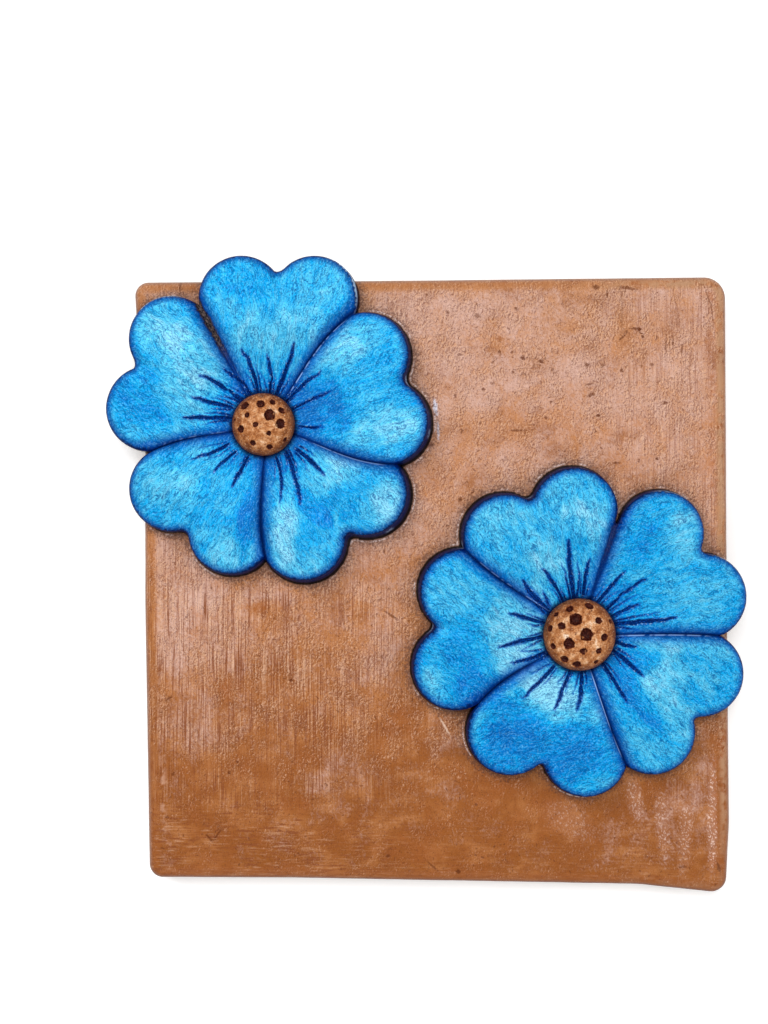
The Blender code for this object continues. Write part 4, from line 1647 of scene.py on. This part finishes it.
def stain_tones(graph, place, patches, crinkle, edge_on):
    """Give the broad tones, from caramel at the bottom to a pinkish veil above, part stain, part
    painted sheen.
    """
    y = graph.add("ShaderNodeSeparateXYZ", {0: place}).outputs["Y"]
    broad = graph.noise(place, 30.0, 2.0, 0.5, 0.5)
    level = graph.math("ADD", y, graph.spread(broad, 60.0))
    base = graph.ramp(graph.add("ShaderNodeMapRange", {0: level, 1: -80.0, 2: 80.0}), (
        (0.00, rgb(138, 78, 28)),
        (0.20, rgb(147, 85, 35)),
        (0.45, rgb(176, 112, 62)),
        (0.70, rgb(182, 122, 80)),
        (1.00, rgb(180, 124, 84)),
    ))
    ochre = graph.noise(place, (7.0, 5.0, 7.0), 2.0, 0.55, 0.3)
    # Painted sheen: the pinkish veil grows towards the top, partly standing for the varnish's
    # reflection.
    higher = graph.fade(level, -50.0, 15.0, -0.50, 0.38)
    haze_and_sheen = graph.total(graph.attribute("haze_and_sheen"), higher, graph.spread(patches, 2.6))
    haze_and_sheen = graph.math("SUBTRACT", haze_and_sheen, edge_on)
    sheen_and_haze_level = graph.math("ADD", haze_and_sheen, graph.spread(crinkle, 2.0))
    deep = graph.math("ADD", haze_and_sheen, graph.spread(crinkle, 1.2))
    return graph.layers(
        base,
        (ochre, 0.48, 0.70, 0.0, 0.34, rgb(196, 132, 80)),
        (ochre, 0.50, 0.30, 0.0, 0.50, rgb(132, 72, 28)),
        (sheen_and_haze_level, -0.45, 1.25, 0.0, 0.85, rgb(206, 169, 156)),
        (deep, -0.25, -1.2, 0.0, 0.65, rgb(150, 84, 38)),
    )


def edge_tones(graph, colour, place, inset):
    """Tint the slab's rounded edges: orange-brown, beige at the right, and dark at the bottom."""
    axes = graph.add("ShaderNodeSeparateXYZ", {0: place})
    x, y = axes.outputs["X"], axes.outputs["Y"]
    right = graph.fade(x, 15.0, 66.0)
    above = graph.fade(y, -77.0, -50.0, 0.25, 1.0)
    streak = graph.noise(place, 2.2, 2.0)
    worn = graph.math("MULTIPLY", graph.fade(streak, 0.36, 0.56), above)
    strength = graph.fade(right, 0.5, 1.0, 0.5, 0.75)
    band = graph.product(graph.band(inset, 0.2, 3.8), worn, strength)
    tone = graph.tint(right, rgb(172, 112, 66), rgb(178, 138, 106))
    colour = graph.tint(band, colour, tone)
    upright = graph.math("MULTIPLY", graph.fade(graph.math("ABSOLUTE", x), 60.0, 69.0), worn)
    inner = graph.math("MULTIPLY", graph.band(inset, 2.8, 5.6), graph.fade(streak, 0.46, 0.66))
    tone = graph.tint(right, rgb(216, 172, 146), rgb(166, 96, 48))
    colour = graph.tint(graph.product(inner, upright, 0.45), colour, tone)
    # The outermost edge: grey-beige, partly painted reflection on the steep rounding, dark brown along
    # the bottom.
    rim = graph.tint(graph.fade(y, -79.0, -70.0), rgb(96, 56, 34), rgb(142, 110, 92))
    return graph.layers(colour, (inset, 0.1, 1.3, 0.75, 0.0, rim))


def foot_shade(graph, colour, place, patches):
    """Paint the slab at the flowers' foot: soft shade, a stippled halo, a glint and a black line of
    shadow.
    """
    from_flower = graph.attribute("from_flower")
    stipple = graph.noise(place, 0.55, 3.0, 0.65)
    reach = graph.fade(from_flower, 0.0, 4.2, 0.56, 0.32)
    dots = graph.math("SUBTRACT", reach, stipple)
    broken = graph.math("MULTIPLY", graph.fade(patches, 0.48, 0.60), graph.fade(stipple, 0.42, 0.56))
    shine = graph.product(graph.band(from_flower, 0.3, 0.9), broken, 0.7)
    # Painted shade: a soft grey darkening of the slab close to the flowers, then the stippled halo.
    colour = graph.layers(
        colour,
        (from_flower, 0.2, 2.4, 0.22, 0.0, rgb(110, 84, 80)),
        (dots, -0.02, 0.05, 0.0, 0.55, rgb(88, 56, 46)),
    )
    # Painted highlight: a broken pale glint just outside the flowers' foot.
    colour = graph.tint(shine, colour, rgb(232, 214, 212))
    # Painted shadow: a black line where the flowers meet the slab.
    return graph.layers(colour, (from_flower, 0.05, 0.32, 0.92, 0.0, rgb(14, 9, 10)))


def centre_clay():
    """Tan clay, paler on the crown as painted highlight, with dark brown pits and painted shade at the
    foot.
    """
    material, graph, shader, place = new_finish("centre_clay")
    above = graph.attribute("above_foot")
    mottle = graph.noise(place, 2.0, 4.0, 0.65, 0.2)
    grain = graph.noise(place, 0.42, 3.0, 0.65)
    # Painted highlight: the clay grows paler higher up the dome.
    tone = graph.math("ADD", graph.spread(mottle, 1.7), graph.fade(above, 0.0, 5.5, 0.08, 0.64))
    colour = graph.ramp(tone, (
        (0.00, rgb(92, 50, 26)),
        (0.35, rgb(142, 82, 42)),
        (0.58, rgb(182, 118, 70)),
        (0.78, rgb(214, 162, 118)),
        (1.00, rgb(244, 218, 192)),
    ))
    ragged = graph.spread(graph.noise(place, 0.9, 3.0, 0.7), 2.2)
    pit = graph.math("ADD", graph.attribute("pit"), ragged)
    colour = graph.layers(
        colour,
        (grain, 0.48, 0.36, 0.0, 0.52, rgb(104, 54, 26)),
        (grain, 0.56, 0.68, 0.0, 0.50, rgb(238, 198, 162)),
        (pit, 0.05, 0.30, 0.0, 0.45, rgb(116, 60, 30)),
        (pit, 0.28, 0.52, 0.0, 0.96, rgb(72, 24, 12)),
        (pit, 0.50, 0.90, 0.0, 0.90, rgb(40, 6, 4)),
    )
    worn = graph.product(graph.fade(grain, 0.50, 0.62), graph.fade(pit, 0.5, 0.9), 0.5)
    colour = graph.tint(worn, colour, rgb(112, 56, 42))
    # Painted shade: the lowest part of the dome darkens where it meets the petals.
    colour = graph.layers(colour, (above, 0.0, 0.3, 0.85, 0.0, rgb(40, 26, 24)))
    graph.feed(shader.inputs["Base Color"], colour)
    graph.feed(shader.inputs["Roughness"], graph.fade(grain, 0.3, 0.7, 0.36, 0.50))
    shader.inputs["Specular IOR Level"].default_value = CLAY_SHINE
    add_relief(graph, shader, grain, CLAY_RELIEF)
    return material


# Studio

def soft_light(name, place, side, power):
    """Hang a soft square light that faces the tile."""
    light = bpy.data.lights.new(name, "AREA")
    light.size = side
    light.energy = power
    lamp = bpy.data.objects.new(name, light)
    lamp.location = place
    lamp.rotation_euler = (-Vector(place)).to_track_quat("-Z", "Y").to_euler()
    bpy.context.scene.collection.objects.link(lamp)


def lay_floor():
    """Lay the pale floor, just under the tile's back."""
    bpy.ops.mesh.primitive_plane_add(size=FLOOR_SIDE, location=(0.0, 0.0, -FLOOR_DROP))
    floor = bpy.context.object
    floor.name = "floor"
    paper = bpy.data.materials.new("floor_paper")
    paper.use_nodes = True
    shader = paper.node_tree.nodes["Principled BSDF"]
    for name, value in (
        ("Base Color", (0.96, 0.96, 0.96, 1.0)),
        ("Roughness", 0.9),
        ("Specular IOR Level", 0.1),
        ("Emission Color", WHITE),
        ("Emission Strength", FLOOR_GLOW),
    ):
        shader.inputs[name].default_value = value
    floor.data.materials.append(paper)


def make_studio():
    """Lay the floor, hang the lights and set the camera straight above the tile."""
    lay_floor()
    world = bpy.data.worlds.new("studio")
    world.use_nodes = True
    background = world.node_tree.nodes["Background"]
    background.inputs["Color"].default_value = WHITE
    background.inputs["Strength"].default_value = ROOM_LIGHT
    bpy.context.scene.world = world
    for name, place, side, power in SOFT_LIGHTS:
        soft_light(name, place, side, power)

    camera = bpy.data.cameras.new("camera")
    camera.sensor_width = SENSOR
    camera.lens = SENSOR * CAMERA_HEIGHT / (PICTURE_LONG_SIDE * PIXEL)
    camera.clip_start = 0.01
    viewer = bpy.data.objects.new("camera", camera)
    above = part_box("slab")[1].z + CAMERA_HEIGHT * MM
    viewer.location = (CAMERA_OVER[0] * MM, CAMERA_OVER[1] * MM, above)
    bpy.context.scene.collection.objects.link(viewer)
    bpy.context.scene.camera = viewer
    bpy.context.scene.view_settings.view_transform = "Standard"


def dress(obj, node):
    """Let a finished piece stand for its CAD node."""
    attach(obj, "root")
    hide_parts(node)


def main():
    """Build the tile's pieces with their finishes, then the studio."""
    make_studio()
    stain = slab_stain()
    slab = make_slab()
    slab.data.materials.append(stain)
    dress(slab, "slab")
    paint = petal_paint()
    clay = centre_clay()
    grooves = vein_tree()
    pressing = pit_tree()
    for number, (name, spec) in enumerate(FLOWERS.items()):
        flower = make_flower(name, spec, FLOWER_SEED + SEED_STEP * number)
        lines = vein_lines(name, spec)
        run_tree(flower, grooves, {
            "Lines": lines,
            "Depth": VEIN_DEPTH * MM,
            "Full half width": VEIN_FULL_HALF_WIDTH * MM,
            "Raggedness": VEIN_RAGGEDNESS,
            "Step along line": VEIN_STEP * MM,
            "Material": paint,
        })
        bpy.data.objects.remove(lines)
        dress(flower, "flower_" + name)
        centre = make_centre(name, CENTRE_SEED + SEED_STEP * number)
        spots = pit_places(name, spec)
        run_tree(centre, pressing, {
            "Places": spots,
            "Depth as part of width": PIT_DEPTH,
            "Raggedness": PIT_RAGGEDNESS,
            "Material": clay,
        })
        bpy.data.objects.remove(spots)
        dress(centre, "centre_" + name)


main()
